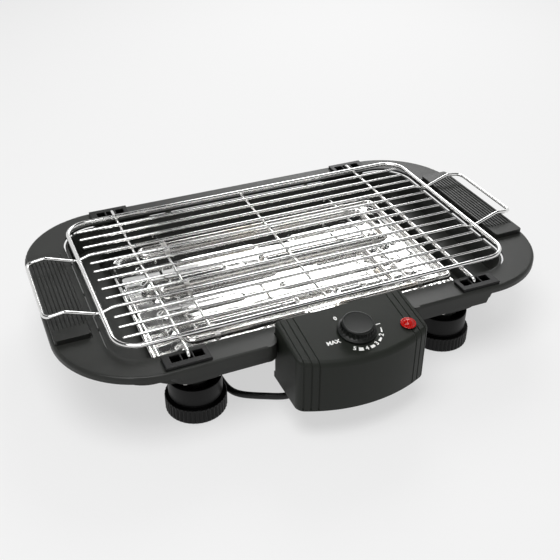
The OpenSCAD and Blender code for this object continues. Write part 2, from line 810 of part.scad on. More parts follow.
// One tube that runs out and back in hairpins, seen from above
row_1 = -98;
half_run = 132;
function row(i) = row_1 + floor(i / 2) * row_pitch + (i % 2) * hairpin;
element_path = rounded_path([
    [-tail_x, -box_back - 16, tube_z], [-tail_x, row(0), tube_z], [-half_run, row(0), tube_z],
    [-half_run, row(1), tube_z], [86, row(1), tube_z], [86, row(2), tube_z],
    [-half_run, row(2), tube_z], [-half_run, row(3), tube_z], [120, row(3), tube_z],
    [120, row(4), tube_z], [-half_run, row(4), tube_z], [-half_run, row(5), tube_z],
    [half_run + 10, row(5), tube_z], [half_run + 10, row(0), tube_z], [tail_x, row(0), tube_z],
    [tail_x, -box_back - 16, tube_z]], hairpin / 2 - 0.02, 6);

module heating_element() {
    color("silver") placed() tube(element_path, tube_d);
}

module insulators() {
    color("white") placed() for (s = [-1, 1])
        translate([s * tail_x, -box_back - 13, tube_z]) rotate([90, 0, 0]) difference() {
            cylinder(h = 5.5, r = tube_d / 2 + 1.2);
            translate([0, 0, -1]) cylinder(h = 4, r = tube_d / 2 + 0.05);
        }
}

// Rods that carry the tube and stand on the ledge
rod_z = tube_z - tube_d / 2 - rod_d / 2 + weld;
rod_reach = well_w / 2 - step_w - rod_d / 2 - 2;
module support_rods() {
    color("silver") placed() for (s = [-1, 1])
        tube(rounded_path([
            [s * rod_x, -rod_reach, ledge_z + rest], [s * rod_x, -rod_reach, rod_z],
            [s * rod_x, rod_reach, rod_z], [s * rod_x, rod_reach, ledge_z + rest]], 4, 4),
            rod_d, up = [1, 0, 0], sides = 10);
}

module support_clips() {
    color("silver") placed() for (s = [-1, 1], i = [0:5])
        if (s < 0 || i != 1 && i != 2) translate([s * rod_x, row(i), tube_z]) {
            rotate([0, 90, 0]) difference() {
                translate([0, 0, -2.5]) cylinder(h = 5, r = tube_d / 2 + 0.7);
                translate([0, 0, -3]) cylinder(h = 6, r = tube_d / 2 + 0.01);
            }
        }
}

module strain_relief() {
    axis = relief_b - relief_a;
    tilt = acos(axis.z / norm(axis));
    color([0.07, 0.07, 0.07]) placed() translate(relief_a)
        rotate([0, tilt, atan2(axis.y, axis.x)]) difference() {
            union() {
                cylinder(h = norm(axis), r1 = 4.7, r2 = cord_d / 2 + 0.9);
                translate([0, 0, -3]) cylinder(h = 3.5, r = 4.7);
            }
            for (i = [1:4]) translate([0, 0, norm(axis) - i * 3.2]) difference() {
                cylinder(h = 1.1, r = 8);
                translate([0, 0, -1]) cylinder(h = 3, r = cord_d / 2 + 0.5);
            }
            translate([0, 0, -4]) cylinder(h = norm(axis) + 8, r = cord_d / 2 + 0.02);
        }
}

// Rack: frame loop, bars, cross wires with legs, and one wire that makes both handles
module rack_frame() {
    color("gainsboro") placed() tube(rounded_loop([
        [-frame_l / 2, -frame_w / 2, frame_z], [frame_l / 2, -frame_w / 2, frame_z],
        [frame_l / 2, frame_w / 2, frame_z], [-frame_l / 2, frame_w / 2, frame_z]], frame_r, 8),
        frame_d, closed = true);
}

module rack_bars() {
    color("gainsboro") placed() for (i = [-bar_rows:bar_rows]) if (abs(i) != 3)
        rod([-bar_l / 2, i * bar_pitch, bar_z], [bar_l / 2, i * bar_pitch, bar_z], bar_d);
}

leg_end = rim_top - slot_d - slot_drop + rest;
module rack_cross_wires() {
    color("gainsboro") placed() {
        for (s = [-1, 1]) tube(rounded_path([
            [s * cross_x, -cross_reach, leg_end], [s * cross_x, -cross_reach, cross_z],
            [s * cross_x, cross_reach, cross_z], [s * cross_x, cross_reach, leg_end]], 3.5, 5),
            cross_d, up = [1, 0, 0]);
        rod([0, -frame_w / 2, cross_z], [0, frame_w / 2, cross_z], cross_d);
    }
}

// Half of the handle wire's path, from the middle of the rack out to the right
function handle_half(s) = [
    [s * 186, handle_z], [s * (frame_l / 2 - 3), handle_low - 0.1], [s * (frame_l / 2 + 5), handle_low],
    [s * 229, rack_z + grip_rise + 2.2], [s * grip_x, rack_z + grip_rise]];
module rack_handle_wire() {
    right = handle_half(1);
    left = handle_half(-1);
    ring = concat(
        [for (p = right) [p.x, -handle_y, p.y]],
        [for (i = [4:-1:0]) [right[i].x, handle_y, right[i].y]],
        [for (p = left) [p.x, handle_y, p.y]],
        [for (i = [4:-1:0]) [left[i].x, -handle_y, left[i].y]]);
    color("gainsboro") placed() tube(rounded_loop(ring, 5, 4), handle_d, closed = true);
}

// The lead: a short stretch that follows the heating unit, then the run on the table
cord_z = cord_d / 2 + 0.1;
lead_points = [
    [-39, -141, 17], [-41.5, -139.5, 12.8], [-45, -137.5, 8.8], [-49.5, -135, 5.8],
    [-55, -132, 3.9], [-61, -129, 3.3], [-67, -126, 3.3]];
run_points = [
    [-67, -126, 3.3], [-78, -120.5, 3.3], [-88, -114.5, 3.3], [-94.5, -108, 3.3], [-98, -99.5, 3.3],
    [-99.5, -89, 3.3], [-100, -76, 3.3], [-100, -60, 3.3], [-100, -40, 3.3], [-99.5, -14, 3.3],
    [-99, 14, 3.3], [-98.5, 44, 3.3], [-98, 74, 3.3], [-97.5, 102, 3.3], [-97, 126, 3.3],
    [-97, 148, 3.3], [-97, 166, 3.3], [-97, 176, 3.3]];
coil_at = [-55, 184];
coil_pitch = cord_d + 0.6;
inner_r = coil_r - coil_turns * coil_pitch;
dip = 2.4;
top_z = cord_z + cord_d + 0.55;

// Radius and height of the coil after t turns: in, half a turn of climb, and out again
function coil_radius(t) =
    t <= coil_turns ? coil_r - coil_pitch * t
    : t >= coil_turns + 0.5 ? inner_r + coil_pitch * (t - coil_turns - 0.5)
    : inner_r - dip * sin(360 * (t - coil_turns));
function coil_height(t) =
    t <= coil_turns ? cord_z
    : t >= coil_turns + 0.5 ? top_z
    : cord_z + (top_z - cord_z) * (1 - cos(360 * (t - coil_turns))) / 2;
coil_end = 2 * coil_turns + 0.5;
function coil_point(t) = [coil_at.x - coil_radius(t) * cos(360 * t),
    coil_at.y + coil_radius(t) * sin(360 * t), coil_height(t)];
steps_per_turn = 24;
coil_path = concat(
    [coil_point(0) + [0, -8, 0]],
    [for (k = [0:coil_end * steps_per_turn]) coil_point(k / steps_per_turn)],
    [coil_point(coil_end) + [0, -7, 0]]);

// Least gap of the coil to itself, between points more than half a turn apart
coil_gap = min([for (i = [0:len(coil_path) - 1], j = [i + 12:1:len(coil_path) - 1])
    norm(coil_path[i] - coil_path[j])]) - cord_d;
echo(coil_gap = coil_gap);

tail_points = [
    [-13, 177, top_z], [-13, 171, top_z], [-11.8, 163, 8.4], [-8.2, 155.5, 5.2], [-2.2, 149.4, 4],
    [5, 145.8, 4.6], [13, 144.3, 7.6], [22, 144, 12], [31, 144, 16], [39, 144, 18.2], [46, 144, 18.8]];
plug_at = [46, 144, 18.8];
// The pins' thinner roots, held in the plug
root_r = pin_d / 2 - 0.5;

module lead_tube(points) {
    color([0.06, 0.06, 0.06]) tube(points, cord_d, sides = 8);
}
function off_table(points) = [for (p = points) [p.x, p.y, max(p.z, cord_z)]];
module cord_lead() { placed() lead_tube(off_table(lead_points)); }
module cord_run() { placed() lead_tube(off_table(run_points)); }
module cord_coil() { placed() color([0.06, 0.06, 0.06]) tube(coil_path, cord_d, sides = 6); }
module cord_tail() { placed() lead_tube(off_table(tail_points)); }

// A strap round the coil's far side
module cord_tie() {
    span = coil_r - inner_r + cord_d + 1.2;
    tall = top_z + cord_d / 2 + 0.6;
    middle = (coil_r + inner_r) / 2;
    color([0.15, 0.15, 0.15]) placed() translate([coil_at.x, coil_at.y + middle, 0]) difference() {
        box_between(-4, 4, -span / 2 - dip - 1, span / 2 + 1, 0.05, tall + 0.8);
        box_between(-5, 5, -span / 2 - dip, span / 2, -1, tall);
    }
}

module plug_body() {
    color([0.07, 0.07, 0.07]) placed() translate(plug_at) rotate([0, 90, 0]) difference() {
        union() {
            cylinder(h = 20, r1 = cord_d / 2 + 1.2, r2 = 6);
            translate([0, 0, 20 - eps]) cylinder(h = 16, r1 = 9, r2 = 14);
            translate([0, 0, 36 - 2 * eps]) cylinder(h = 14, r = 18.6);
        }
        translate([0, 0, -1]) cylinder(h = 13, r = cord_d / 2 + 0.02);
        // Flats at the sides with the earth contacts' recesses
        for (s = [-1, 1]) translate([s * 17.5 - 2.5, -4, 41]) cube([5, 8, 12]);
        for (s = [-1, 1]) translate([0, s * pin_pitch / 2, 40]) cylinder(h = 20, r = root_r - 0.01);
    }
}

module plug_pins() {
    color("silver") placed() translate(plug_at + [50 - 10, 0, 0]) rotate([0, 90, 0])
        for (s = [-1, 1]) translate([0, s * pin_pitch / 2, 0.01]) {
            cylinder(h = 11, r = root_r);
            translate([0, 0, 10.4]) cylinder(h = 16.6, r = pin_d / 2);
            translate([0, 0, 27 - eps]) cylinder(h = 2, r1 = pin_d / 2, r2 = pin_d / 2 - 1.4);
        }
}

base_body();
bracket_fl();
bracket_fr();
bracket_bl();
bracket_br();
grip_pad_left();
grip_pad_right();
grip_screws();
leg_screws();
foot_fl();
foot_fr();
foot_bl();
foot_br();
sole_fl();
sole_fr();
sole_bl();
sole_br();
drip_tray();
control_cover();
control_tub();
cover_screws();
thermostat();
thermal_cutout();
terminal_block();
lamp_holder();
lamp_lens();
element_flange();
heating_element();
insulators();
support_rods();
support_clips();
strain_relief();
knob();
knob_shaft();
rack_frame();
rack_bars();
rack_cross_wires();
rack_handle_wire();
cord_lead();
cord_run();
cord_coil();
cord_tie();
cord_tail();
plug_body();
plug_pins();
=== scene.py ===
"""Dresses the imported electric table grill: softened plastic shells, round wires, a pressed
drip tray, the control box with its knob and dial, and the mains lead."""
import math

import bmesh
import bpy
import numpy as np
from mathutils import Matrix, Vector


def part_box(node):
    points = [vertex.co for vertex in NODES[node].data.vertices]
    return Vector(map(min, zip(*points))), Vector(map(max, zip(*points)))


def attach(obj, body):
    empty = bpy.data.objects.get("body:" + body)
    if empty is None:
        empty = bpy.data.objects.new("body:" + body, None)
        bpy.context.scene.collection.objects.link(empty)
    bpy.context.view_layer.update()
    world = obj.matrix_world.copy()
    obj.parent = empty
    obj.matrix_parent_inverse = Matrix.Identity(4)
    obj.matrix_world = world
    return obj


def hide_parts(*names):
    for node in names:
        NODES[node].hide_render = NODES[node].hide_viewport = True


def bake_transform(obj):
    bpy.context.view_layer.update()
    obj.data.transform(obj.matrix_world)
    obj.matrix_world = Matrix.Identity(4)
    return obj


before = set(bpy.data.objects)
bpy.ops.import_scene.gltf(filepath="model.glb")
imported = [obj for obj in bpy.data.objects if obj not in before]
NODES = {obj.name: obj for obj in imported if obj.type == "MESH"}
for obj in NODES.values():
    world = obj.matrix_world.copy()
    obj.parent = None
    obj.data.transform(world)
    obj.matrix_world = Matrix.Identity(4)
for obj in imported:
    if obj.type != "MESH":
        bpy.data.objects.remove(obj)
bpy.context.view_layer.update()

bl_info = {
    "name": "Electric table grill",
    "version": (1, 0, 0),
    "blender": (4, 5, 0),
    "location": "View3D > Sidebar > Grill",
    "description": "Builds the visible pieces of an electric table grill on its packed frame",
    "category": "Object",
}

MM = 0.001


def middle_y(node):
    low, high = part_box(node)
    return (low.y + high.y) / 2


# The rack's middle is the tub's middle; every measure below is in millimetres from it.
SHIFT = round(middle_y("rack_frame") / MM, 3)
RACK_Z = round(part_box("rack_bars")[0].z / MM, 3)
TRAY_Z = round(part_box("drip_tray")[0].z / MM, 3)
TUBE_Z = round((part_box("heating_element")[0].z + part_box("heating_element")[1].z) / 2 / MM, 3)
TILT = math.radians(9.0)
BOX_TOP = 92.5
BOX_BACK = 131.0
KNOB_Y = 165.0
LAMP = (47.0, 173.0)
LEG = (131.0, 105.5)


# ---------------------------------------------------------------- plain settings
def length(name, description, default, low=0.0, high=1.0):
    return bpy.props.FloatProperty(name=name, description=description, default=default,
                                   min=low, max=high, subtype="DISTANCE", unit="LENGTH")


def colour(name, description, default):
    return bpy.props.FloatVectorProperty(name=name, description=description, default=default,
                                         min=0.0, max=1.0, size=3, subtype="COLOR")


def factor(name, description, default):
    return bpy.props.FloatProperty(name=name, description=description, default=default,
                                   min=0.0, max=1.0, subtype="FACTOR")


class GrillPlastic(bpy.types.PropertyGroup):
    tub: colour("Tub", "Colour of the tub and its rim", (0.020, 0.021, 0.019))
    box: colour("Control box", "Colour of the control box", (0.010, 0.012, 0.009))
    foot: colour("Feet", "Colour of the feet and the rack seats", (0.003, 0.003, 0.003))
    knob: colour("Knob", "Colour of the knob", (0.006, 0.007, 0.006))
    edge: length("Edge", "Rounding of the moulded edges", 0.0005, 0.0001, 0.002)
    crease: length("Front crease", "Rounding between the box's top and front", 0.005, 0.001, 0.008)
    groove: length("Groove", "Depth of the grooves in the control box", 0.0007, 0.0002, 0.002)


class GrillMetal(bpy.types.PropertyGroup):
    wire: colour("Wire", "Colour of the plated wires", (0.86, 0.86, 0.85))
    sheet: colour("Sheet", "Colour of the drip tray's sheet", (0.88, 0.88, 0.87))
    heater: colour("Heating tube", "Colour of the heating tube", (0.74, 0.73, 0.71))
    bend: length("Handle bends", "Radius of the bends at the handles' ends", 0.009, 0.003, 0.02)
    boss: length("Embossed bars", "Height of the tray's embossed bars", 0.003, 0.001, 0.004)
    tremble: length("Waviness", "How far the tray's sheet strays from flat", 0.0001, 0.0, 0.002)


class GrillLead(bpy.types.PropertyGroup):
    jacket: colour("Jacket", "Colour of the mains lead", (0.010, 0.010, 0.010))
    width: length("Diameter", "Diameter of the mains lead", 0.0064, 0.004, 0.009)


class GrillMarks(bpy.types.PropertyGroup):
    print: colour("Print", "Colour of the dial's printing", (0.85, 0.85, 0.83))
    lens: colour("Lamp", "Colour of the lamp's lens", (0.42, 0.006, 0.004))
    size: length("Numbers", "Height of the dial's numbers", 0.0058, 0.003, 0.008)
    radius: length("Dial radius", "Distance of the numbers from the axis", 0.0218, 0.019, 0.026)


class GrillStage(bpy.types.PropertyGroup):
    floor: colour("Floor", "Colour of the floor", (0.70, 0.70, 0.70))
    key: bpy.props.FloatProperty(name="Key light", description="Power of the large soft lamp",
                                 default=20.0, min=0.0, unit="POWER")
    sky: factor("Sky", "Strength of the world's light on the grill", 0.34)


GROUPS = {"grill_plastic": GrillPlastic, "grill_metal": GrillMetal, "grill_lead": GrillLead,
          "grill_marks": GrillMarks, "grill_stage": GrillStage}


# ---------------------------------------------------------------- surfaces from numpy
def spot(x, y, z):
    """A place given in millimetres from the tub's middle, in metres."""
    return np.array([x, y + SHIFT, z]) * MM


def spots(points):
    return (np.asarray(points, float) + [0, SHIFT, 0]) * MM


def quads(rows, cols, wrap_rows=False, wrap_cols=True):
    """Corner numbers of a grid's four-sided faces, row after row."""
    r = np.arange(rows if wrap_rows else rows - 1)[:, None]
    c = np.arange(cols if wrap_cols else cols - 1)[None, :]
    r2, c2 = (r + 1) % rows, (c + 1) % cols
    return np.stack([r * cols + c, r * cols + c2, r2 * cols + c2, r2 * cols + c], -1).reshape(-1, 4)


def unit(v):
    return v / np.linalg.norm(v, axis=-1, keepdims=True)


def rings(grid, wrap=False):
    """Rings of points, one after the other, joined by faces; the first and last are capped."""
    rows, cols = grid.shape[:2]
    faces = quads(rows, cols, wrap).tolist()
    if not wrap:
        faces += [list(range(cols))[::-1], list(range((rows - 1) * cols, rows * cols))]
    return grid.reshape(-1, 3), faces


def wire(path, width, sides=14, closed=False, up=(0, 0, 1), dome=True):
    """A round wire. Each point of the path carries a circle square to the path:
    point + r (cos v * side + sin v * top). An open end is a dome: rings of radius
    r cos t that lie r sin t further on, for t up to 80 degrees."""
    path = np.asarray(path, float)
    r = np.full(len(path), width / 2)
    step = np.roll(path, -1, 0) - np.roll(path, 1, 0) if closed else np.gradient(path, axis=0)
    step = unit(step)
    if dome and not closed:
        t = np.radians([20, 40, 60, 80])
        reach = (width / 2 * np.sin(t))[:, None]
        first, last = path[0] - step[0] * reach[::-1], path[-1] + step[-1] * reach
        path = np.vstack([first, path, last])
        step = np.vstack([np.repeat(step[:1], 4, 0), step, np.repeat(step[-1:], 4, 0)])
        r = np.concatenate([width / 2 * np.cos(t)[::-1], r, width / 2 * np.cos(t)])
    side = unit(np.cross(up, step))
    top = np.cross(step, side)
    v = (np.arange(sides) * 2 * np.pi / sides)[None, :, None]
    grid = path[:, None] + r[:, None, None] * (np.cos(v) * side[:, None] + np.sin(v) * top[:, None])
    return rings(grid, closed)


def turned(profile, at, tilt=0.0, count=96, shape=None):
    """A turned piece. The profile's points (radius, height) go round the axis at `at`:
    (radius cos v, radius sin v, height); shape(radius, height, v) may change the radius.
    The axis leans back by `tilt` about X, as the box's top does."""
    profile = np.asarray(profile, float)
    v = np.arange(count) * 2 * np.pi / count
    r = np.repeat(profile[:, :1], count, 1)
    z = np.repeat(profile[:, 1:2], count, 1)
    if shape:
        r = shape(r, z, v[None, :])
    grid = np.stack([r * np.cos(v), r * np.sin(v), z], -1) * MM
    lean = np.array(Matrix.Rotation(tilt, 3, "X"))
    verts, faces = rings(grid)
    return verts @ lean.T + at, faces


def soft_profile(points, steps=3):
    """A profile whose points (radius, height, rounding) are joined by small arcs: each corner
    becomes a quadratic curve that starts and ends one rounding away from it."""
    out = []
    for i, (r, z, soft) in enumerate(points):
        here = np.array([r, z])
        if soft == 0 or i in (0, len(points) - 1):
            out.append(here)
            continue
        a = here + unit(np.array(points[i - 1][:2]) - here) * soft
        b = here + unit(np.array(points[i + 1][:2]) - here) * soft
        t = np.linspace(0, 1, steps + 1)[:, None]
        out.extend((1 - t) ** 2 * a + 2 * t * (1 - t) * here + t * t * b)
    return np.array(out)


def prism(outline, low, high):
    """A plane outline carried from low to high along Z, with both ends closed."""
    outline = np.asarray(outline, float)
    grid = np.stack([np.column_stack([outline, np.full(len(outline), h)]) for h in (low, high)])
    return rings(grid)


def moved(part, matrix):
    verts, faces = part
    m = np.array(matrix)
    return verts @ m[:3, :3].T + m[:3, 3], faces


def bent(points, radius, steps=8, closed=False):
    """A path whose corners are arcs of one radius. Between the unit vectors p and q from the
    arc's centre to its ends, the points are centre + r (sin((1-k)w) p + sin(kw) q) / sin w."""
    points = np.asarray(points, float)
    n = len(points)
    out = [] if closed else [points[:1]]
    k = np.linspace(0, 1, steps + 1)[:, None]
    for i in range(0 if closed else 1, n if closed else n - 1):
        a, b, c = points[i - 1], points[i], points[(i + 1) % n]
        u, w = unit(a - b), unit(c - b)
        half = math.acos(np.clip(u @ w, -1, 1)) / 2
        centre = b + unit(u + w) * radius / math.sin(half)
        p, q = b + u * radius / math.tan(half) - centre, b + w * radius / math.tan(half) - centre
        sweep = math.pi - 2 * half
        out.append(centre + (np.sin(sweep * (1 - k)) * p + np.sin(sweep * k) * q) / math.sin(sweep))
    return np.vstack(out if closed else out + [points[-1:]])


def bridge(x, reach, foot, top, radius):
    """A wire along Y at x whose two ends turn down from top to foot."""
    return bent([(x, -reach, foot), (x, -reach, top), (x, reach, top), (x, reach, foot)], radius)


def flowing(points, spacing):
    """A smooth curve through all points, a cubic from each to the next whose slope at a point
    is half the step between its neighbours, cut again into equal lengths."""
    p = np.asarray(points, float)
    ends = np.vstack([2 * p[0] - p[1], p, 2 * p[-1] - p[-2]])
    a, b, c, d = ends[:-3], ends[1:-2], ends[2:-1], ends[3:]
    t = np.linspace(0, 1, 12, endpoint=False)[None, :, None]
    a, b, c, d = a[:, None], b[:, None], c[:, None], d[:, None]
    curve = 0.5 * (2 * b + (c - a) * t + (2 * a - 5 * b + 4 * c - d) * t ** 2
                   + (3 * b - a - 3 * c + d) * t ** 3)
    curve = np.vstack([curve.reshape(-1, 3), p[-1:]])
    run = np.concatenate([[0], np.cumsum(np.linalg.norm(np.diff(curve, axis=0), axis=1))])
    even = np.linspace(0, run[-1], max(int(run[-1] / spacing), 2) + 1)
    return np.stack([np.interp(even, run, curve[:, i]) for i in range(3)], -1)


def bead(at, wide, high, count=10):
    """A small flattened ball of weld metal: (wide cos a cos v, wide cos a sin v, high sin a)."""
    a = np.radians([-70, -40, -10, 20, 50, 75])
    v = np.arange(count) * 2 * np.pi / count
    grid = np.stack([wide * np.cos(a)[:, None] * np.cos(v), wide * np.cos(a)[:, None] * np.sin(v),
                     high * np.sin(a)[:, None] * np.ones(count)], -1)
    return rings(grid * MM + at)


# ---------------------------------------------------------------- objects
def joined(parts):
    verts, faces, start = [], [], 0
    for v, f in parts:
        verts.append(np.asarray(v, float))
        faces.extend([[i + start for i in face] for face in f])
        start += len(v)
    return np.vstack(verts), faces


def mesh_of(name, parts, outward=True):
    verts, faces = joined(parts)
    mesh = bpy.data.meshes.new(name)
    mesh.from_pydata(verts.tolist(), [], faces)
    if outward:
        bm = bmesh.new()
        bm.from_mesh(mesh)
        bmesh.ops.recalc_face_normals(bm, faces=bm.faces)
        bm.to_mesh(mesh)
        bm.free()
    return mesh


def show(name, mesh, material, body, replaces=(), sharp=32):
    """Links a finished mesh, smooth but for its sharp edges, and puts it on its body."""
    obj = bpy.data.objects.new(name, mesh)
    bpy.context.scene.collection.objects.link(obj)
    mesh.polygons.foreach_set("use_smooth", np.ones(len(mesh.polygons), bool))
    mesh.set_sharp_from_angle(angle=math.radians(sharp))
    mesh.materials.clear()
    mesh.materials.append(material)
    if replaces:
        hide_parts(*replaces)
    if body:
        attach(obj, body)
    return obj


def copy_of(node, name):
    """A clean copy of a CAD node's mesh: loose corners merged, flat triangles made one face."""
    source = NODES[node].data
    co = np.zeros(len(source.vertices) * 3)
    source.vertices.foreach_get("co", co)
    corners = np.zeros(len(source.loops), np.int32)
    source.loops.foreach_get("vertex_index", corners)
    mesh = bpy.data.meshes.new(name)
    mesh.from_pydata(co.reshape(-1, 3).tolist(), [], corners.reshape(-1, 3).tolist())
    bm = bmesh.new()
    bm.from_mesh(mesh)
    bmesh.ops.remove_doubles(bm, verts=bm.verts, dist=2e-6)
    bmesh.ops.dissolve_limit(bm, angle_limit=math.radians(0.6), verts=bm.verts, edges=bm.edges)
    bm.to_mesh(mesh)
    bm.free()
    return mesh


def soften(obj, width, segments=2, angle=34):
    bevel = obj.modifiers.new("edges", "BEVEL")
    bevel.width = width
    bevel.segments = segments
    bevel.limit_method = "ANGLE"
    bevel.angle_limit = math.radians(angle)
    bevel.use_clamp_overlap = True
    shading = obj.modifiers.new("shading", "WEIGHTED_NORMAL")
    shading.keep_sharp = True
    return obj


def cut(obj, tools):
    """Takes the closed tool meshes out of obj's mesh, one after the other."""
    scratch = []
    for mesh in tools:
        tool = bpy.data.objects.new("tool", mesh)
        bpy.context.scene.collection.objects.link(tool)
        step = obj.modifiers.new("cut", "BOOLEAN")
        step.operation = "DIFFERENCE"
        step.solver = "EXACT"
        step.object = tool
        scratch.append(tool)
    bpy.context.view_layer.update()
    done = bpy.data.meshes.new_from_object(
        obj.evaluated_get(bpy.context.evaluated_depsgraph_get()))
    obj.modifiers.clear()
    obj.data = done
    for tool in scratch:
        bpy.data.objects.remove(tool)
    done.set_sharp_from_angle(angle=math.radians(32))
    return obj


# ---------------------------------------------------------------- finishes
class Amount:
    """A number that varies over a surface. Arithmetic on it adds the Math nodes."""

    def __init__(self, finish, socket):
        self.finish, self.socket = finish, socket

    def by(self, operation, first, second):
        return self.finish.node("ShaderNodeMath", {"operation": operation}, {0: first, 1: second})

    def __add__(self, other):
        return self.by("ADD", self, other)

    def __radd__(self, other):
        return self.by("ADD", other, self)

    def __sub__(self, other):
        return self.by("SUBTRACT", self, other)

    def __rsub__(self, other):
        return self.by("SUBTRACT", other, self)

    def __mul__(self, other):
        return self.by("MULTIPLY", self, other)

    def __rmul__(self, other):
        return self.by("MULTIPLY", other, self)


class Finish:
    """A material, its shader and the nodes that feed it."""

    def __init__(self, name, **constants):
        self.material = bpy.data.materials.new(name)
        self.material.use_nodes = True
        self.tree = self.material.node_tree
        self.tree.nodes.clear()
        self.shader = self.tree.nodes.new("ShaderNodeBsdfPrincipled")
        out = self.tree.nodes.new("ShaderNodeOutputMaterial")
        self.tree.links.new(self.shader.outputs["BSDF"], out.inputs["Surface"])
        self.place = self.node("ShaderNodeTexCoord", {}, {}, "Object")
        for socket, value in constants.items():
            self.feed(socket.replace("_", " "), value)

    def node(self, kind, settings, sockets, output=0):
        """Adds a node, sets it up, joins or sets its sockets and gives one output."""
        made = self.tree.nodes.new(kind)
        for key, value in settings.items():
            setattr(made, key, value)
        for key, value in sockets.items():
            self.join(value, made.inputs[key])
        return Amount(self, made.outputs[output])

    def join(self, value, socket):
        if isinstance(value, Amount):
            self.tree.links.new(value.socket, socket)
        elif isinstance(value, tuple) and len(value) == 3 and socket.type == "RGBA":
            socket.default_value = (*value, 1.0)
        else:
            socket.default_value = value

    def feed(self, socket, value):
        self.join(value, self.shader.inputs[socket])

    def noise(self, scale, detail=2.0, rough=0.5, stretch=None):
        place = self.place
        if stretch:
            place = self.node("ShaderNodeVectorMath", {"operation": "MULTIPLY"},
                              {0: self.place, 1: stretch})
        return self.node("ShaderNodeTexNoise", {}, {
            "Vector": place, "Scale": scale, "Detail": detail, "Roughness": rough}, "Fac")

    def spread(self, value, low, high, new_low, new_high):
        return self.node("ShaderNodeMapRange", {"interpolation_type": "SMOOTHSTEP"},
                         {"Value": value, "From Min": low, "From Max": high,
                          "To Min": new_low, "To Max": new_high}, "Result")

    def blend(self, share, first, second):
        return self.node("ShaderNodeMix", {"data_type": "RGBA"},
                         {0: share, 6: first, 7: second}, 2)

    def relief(self, height, distance, strength=1.0):
        self.feed("Normal", self.node("ShaderNodeBump", {}, {
            "Height": height, "Distance": distance, "Strength": strength}, "Normal"))


def shade(base, gain):
    return tuple(min(c * gain, 1.0) for c in base)


def moulded(name, base, rough=0.42, grain=0.00004, dust=0.35, gloss=0.3):
    """Injection-moulded plastic: a fine spark texture, faint flow clouds and rubbed patches."""
    f = Finish(name, Specular_IOR_Level=gloss)
    clouds = f.noise(14.0, 3.0, 0.55)
    fine = f.noise(2200.0, 2.0, 0.6)
    rub = f.noise(55.0, 4.0, 0.65)
    share = f.spread(clouds, 0.35, 0.68, 0.0, 1.0)
    tone = f.blend(share, shade(base, 0.9), shade(base, 1.14))
    f.feed("Base Color", f.blend(f.spread(rub, 0.55, 0.8, 0.0, dust), tone, shade(base, 1.35)))
    f.feed("Roughness", rough - 0.05 + share * 0.05 + fine * 0.09)
    f.relief(fine * 0.75 + clouds * 0.25, grain)
    return f.material


def plated(name, base, rough=0.10):
    """Bright plating on drawn wire: shallow draw lines, hazy patches and a few dull specks."""
    f = Finish(name, Metallic=1.0)
    haze = f.noise(60.0, 3.0, 0.6)
    specks = f.noise(900.0, 2.0, 0.5)
    dull = f.spread(specks, 0.66, 0.78, 0.0, 1.0)
    f.feed("Base Color", f.blend(dull * 0.3 + haze * 0.1, base, shade(base, 0.62)))
    f.feed("Roughness", rough + f.spread(haze, 0.4, 0.75, 0.0, 0.10) + dull * 0.12)
    f.relief(f.noise(420.0, 2.0, 0.5), 0.000004)
    return f.material


def pressed(name, base, wave):
    """Polished pressed sheet: a near mirror with slow rolling waves, faint haze and fine
    polishing scratches that only dull it."""
    f = Finish(name, Metallic=1.0)
    slow = f.noise(34.0, 1.0, 0.4)
    haze = f.noise(90.0, 3.0, 0.6)
    fine = f.noise(1600.0, 2.0, 0.5)
    f.feed("Base Color", f.blend(f.spread(haze, 0.45, 0.75, 0.0, 0.5), base, shade(base, 0.8)))
    f.feed("Roughness", 0.03 + f.spread(haze, 0.4, 0.75, 0.0, 0.05) + fine * 0.03)
    f.relief(slow, wave)
    return f.material


def turned_steel(name, base, rough=0.28):
    """Plain zinc-plated steel with a fine crosswise grain and darker rubbed places."""
    f = Finish(name, Metallic=1.0)
    grain = f.noise(700.0, 3.0, 0.65, (1.0, 0.25, 1.0))
    patch = f.noise(120.0, 3.0, 0.6)
    f.feed("Base Color", f.blend(f.spread(patch, 0.4, 0.7, 0.0, 0.6), base, shade(base, 0.6)))
    f.feed("Roughness", rough + grain * 0.16)
    f.relief(grain, 0.00003)
    return f.material


def heated(name, base):
    """Stainless heating tube: a bright drawn skin with straw-coloured heat tint in patches."""
    f = Finish(name, Metallic=1.0)
    tint = f.spread(f.noise(18.0, 2.0, 0.5), 0.5, 0.72, 0.0, 0.55)
    skin = f.noise(800.0, 2.0, 0.6)
    f.feed("Base Color", f.blend(tint, base, (0.60, 0.52, 0.42)))
    f.feed("Roughness", 0.12 + tint * 0.12 + skin * 0.06)
    f.relief(skin, 0.000004)
    return f.material


def rubber(name, base, rough=0.6):
    """Soft black rubber: dull, with a fine pebbled skin and paler dust in patches."""
    f = Finish(name, Specular_IOR_Level=0.4)
    dust = f.spread(f.noise(70.0, 4.0, 0.6), 0.5, 0.8, 0.0, 0.5)
    skin = f.noise(1500.0, 2.0, 0.6)
    f.feed("Base Color", f.blend(dust, base, shade(base, 2.2)))
    f.feed("Roughness", rough + skin * 0.15)
    f.relief(skin, 0.00005)
    return f.material


def fired(name):
    """Unglazed ceramic: off-white, speckled and slightly pitted."""
    f = Finish(name)
    grit = f.noise(1400.0, 3.0, 0.6)
    pits = f.spread(grit, 0.5, 0.7, 0.0, 1.0)
    f.feed("Base Color", f.blend(pits, (0.76, 0.73, 0.66), (0.60, 0.56, 0.49)))
    f.feed("Roughness", 0.62 + grit * 0.2)
    f.relief(grit, 0.00006)
    return f.material


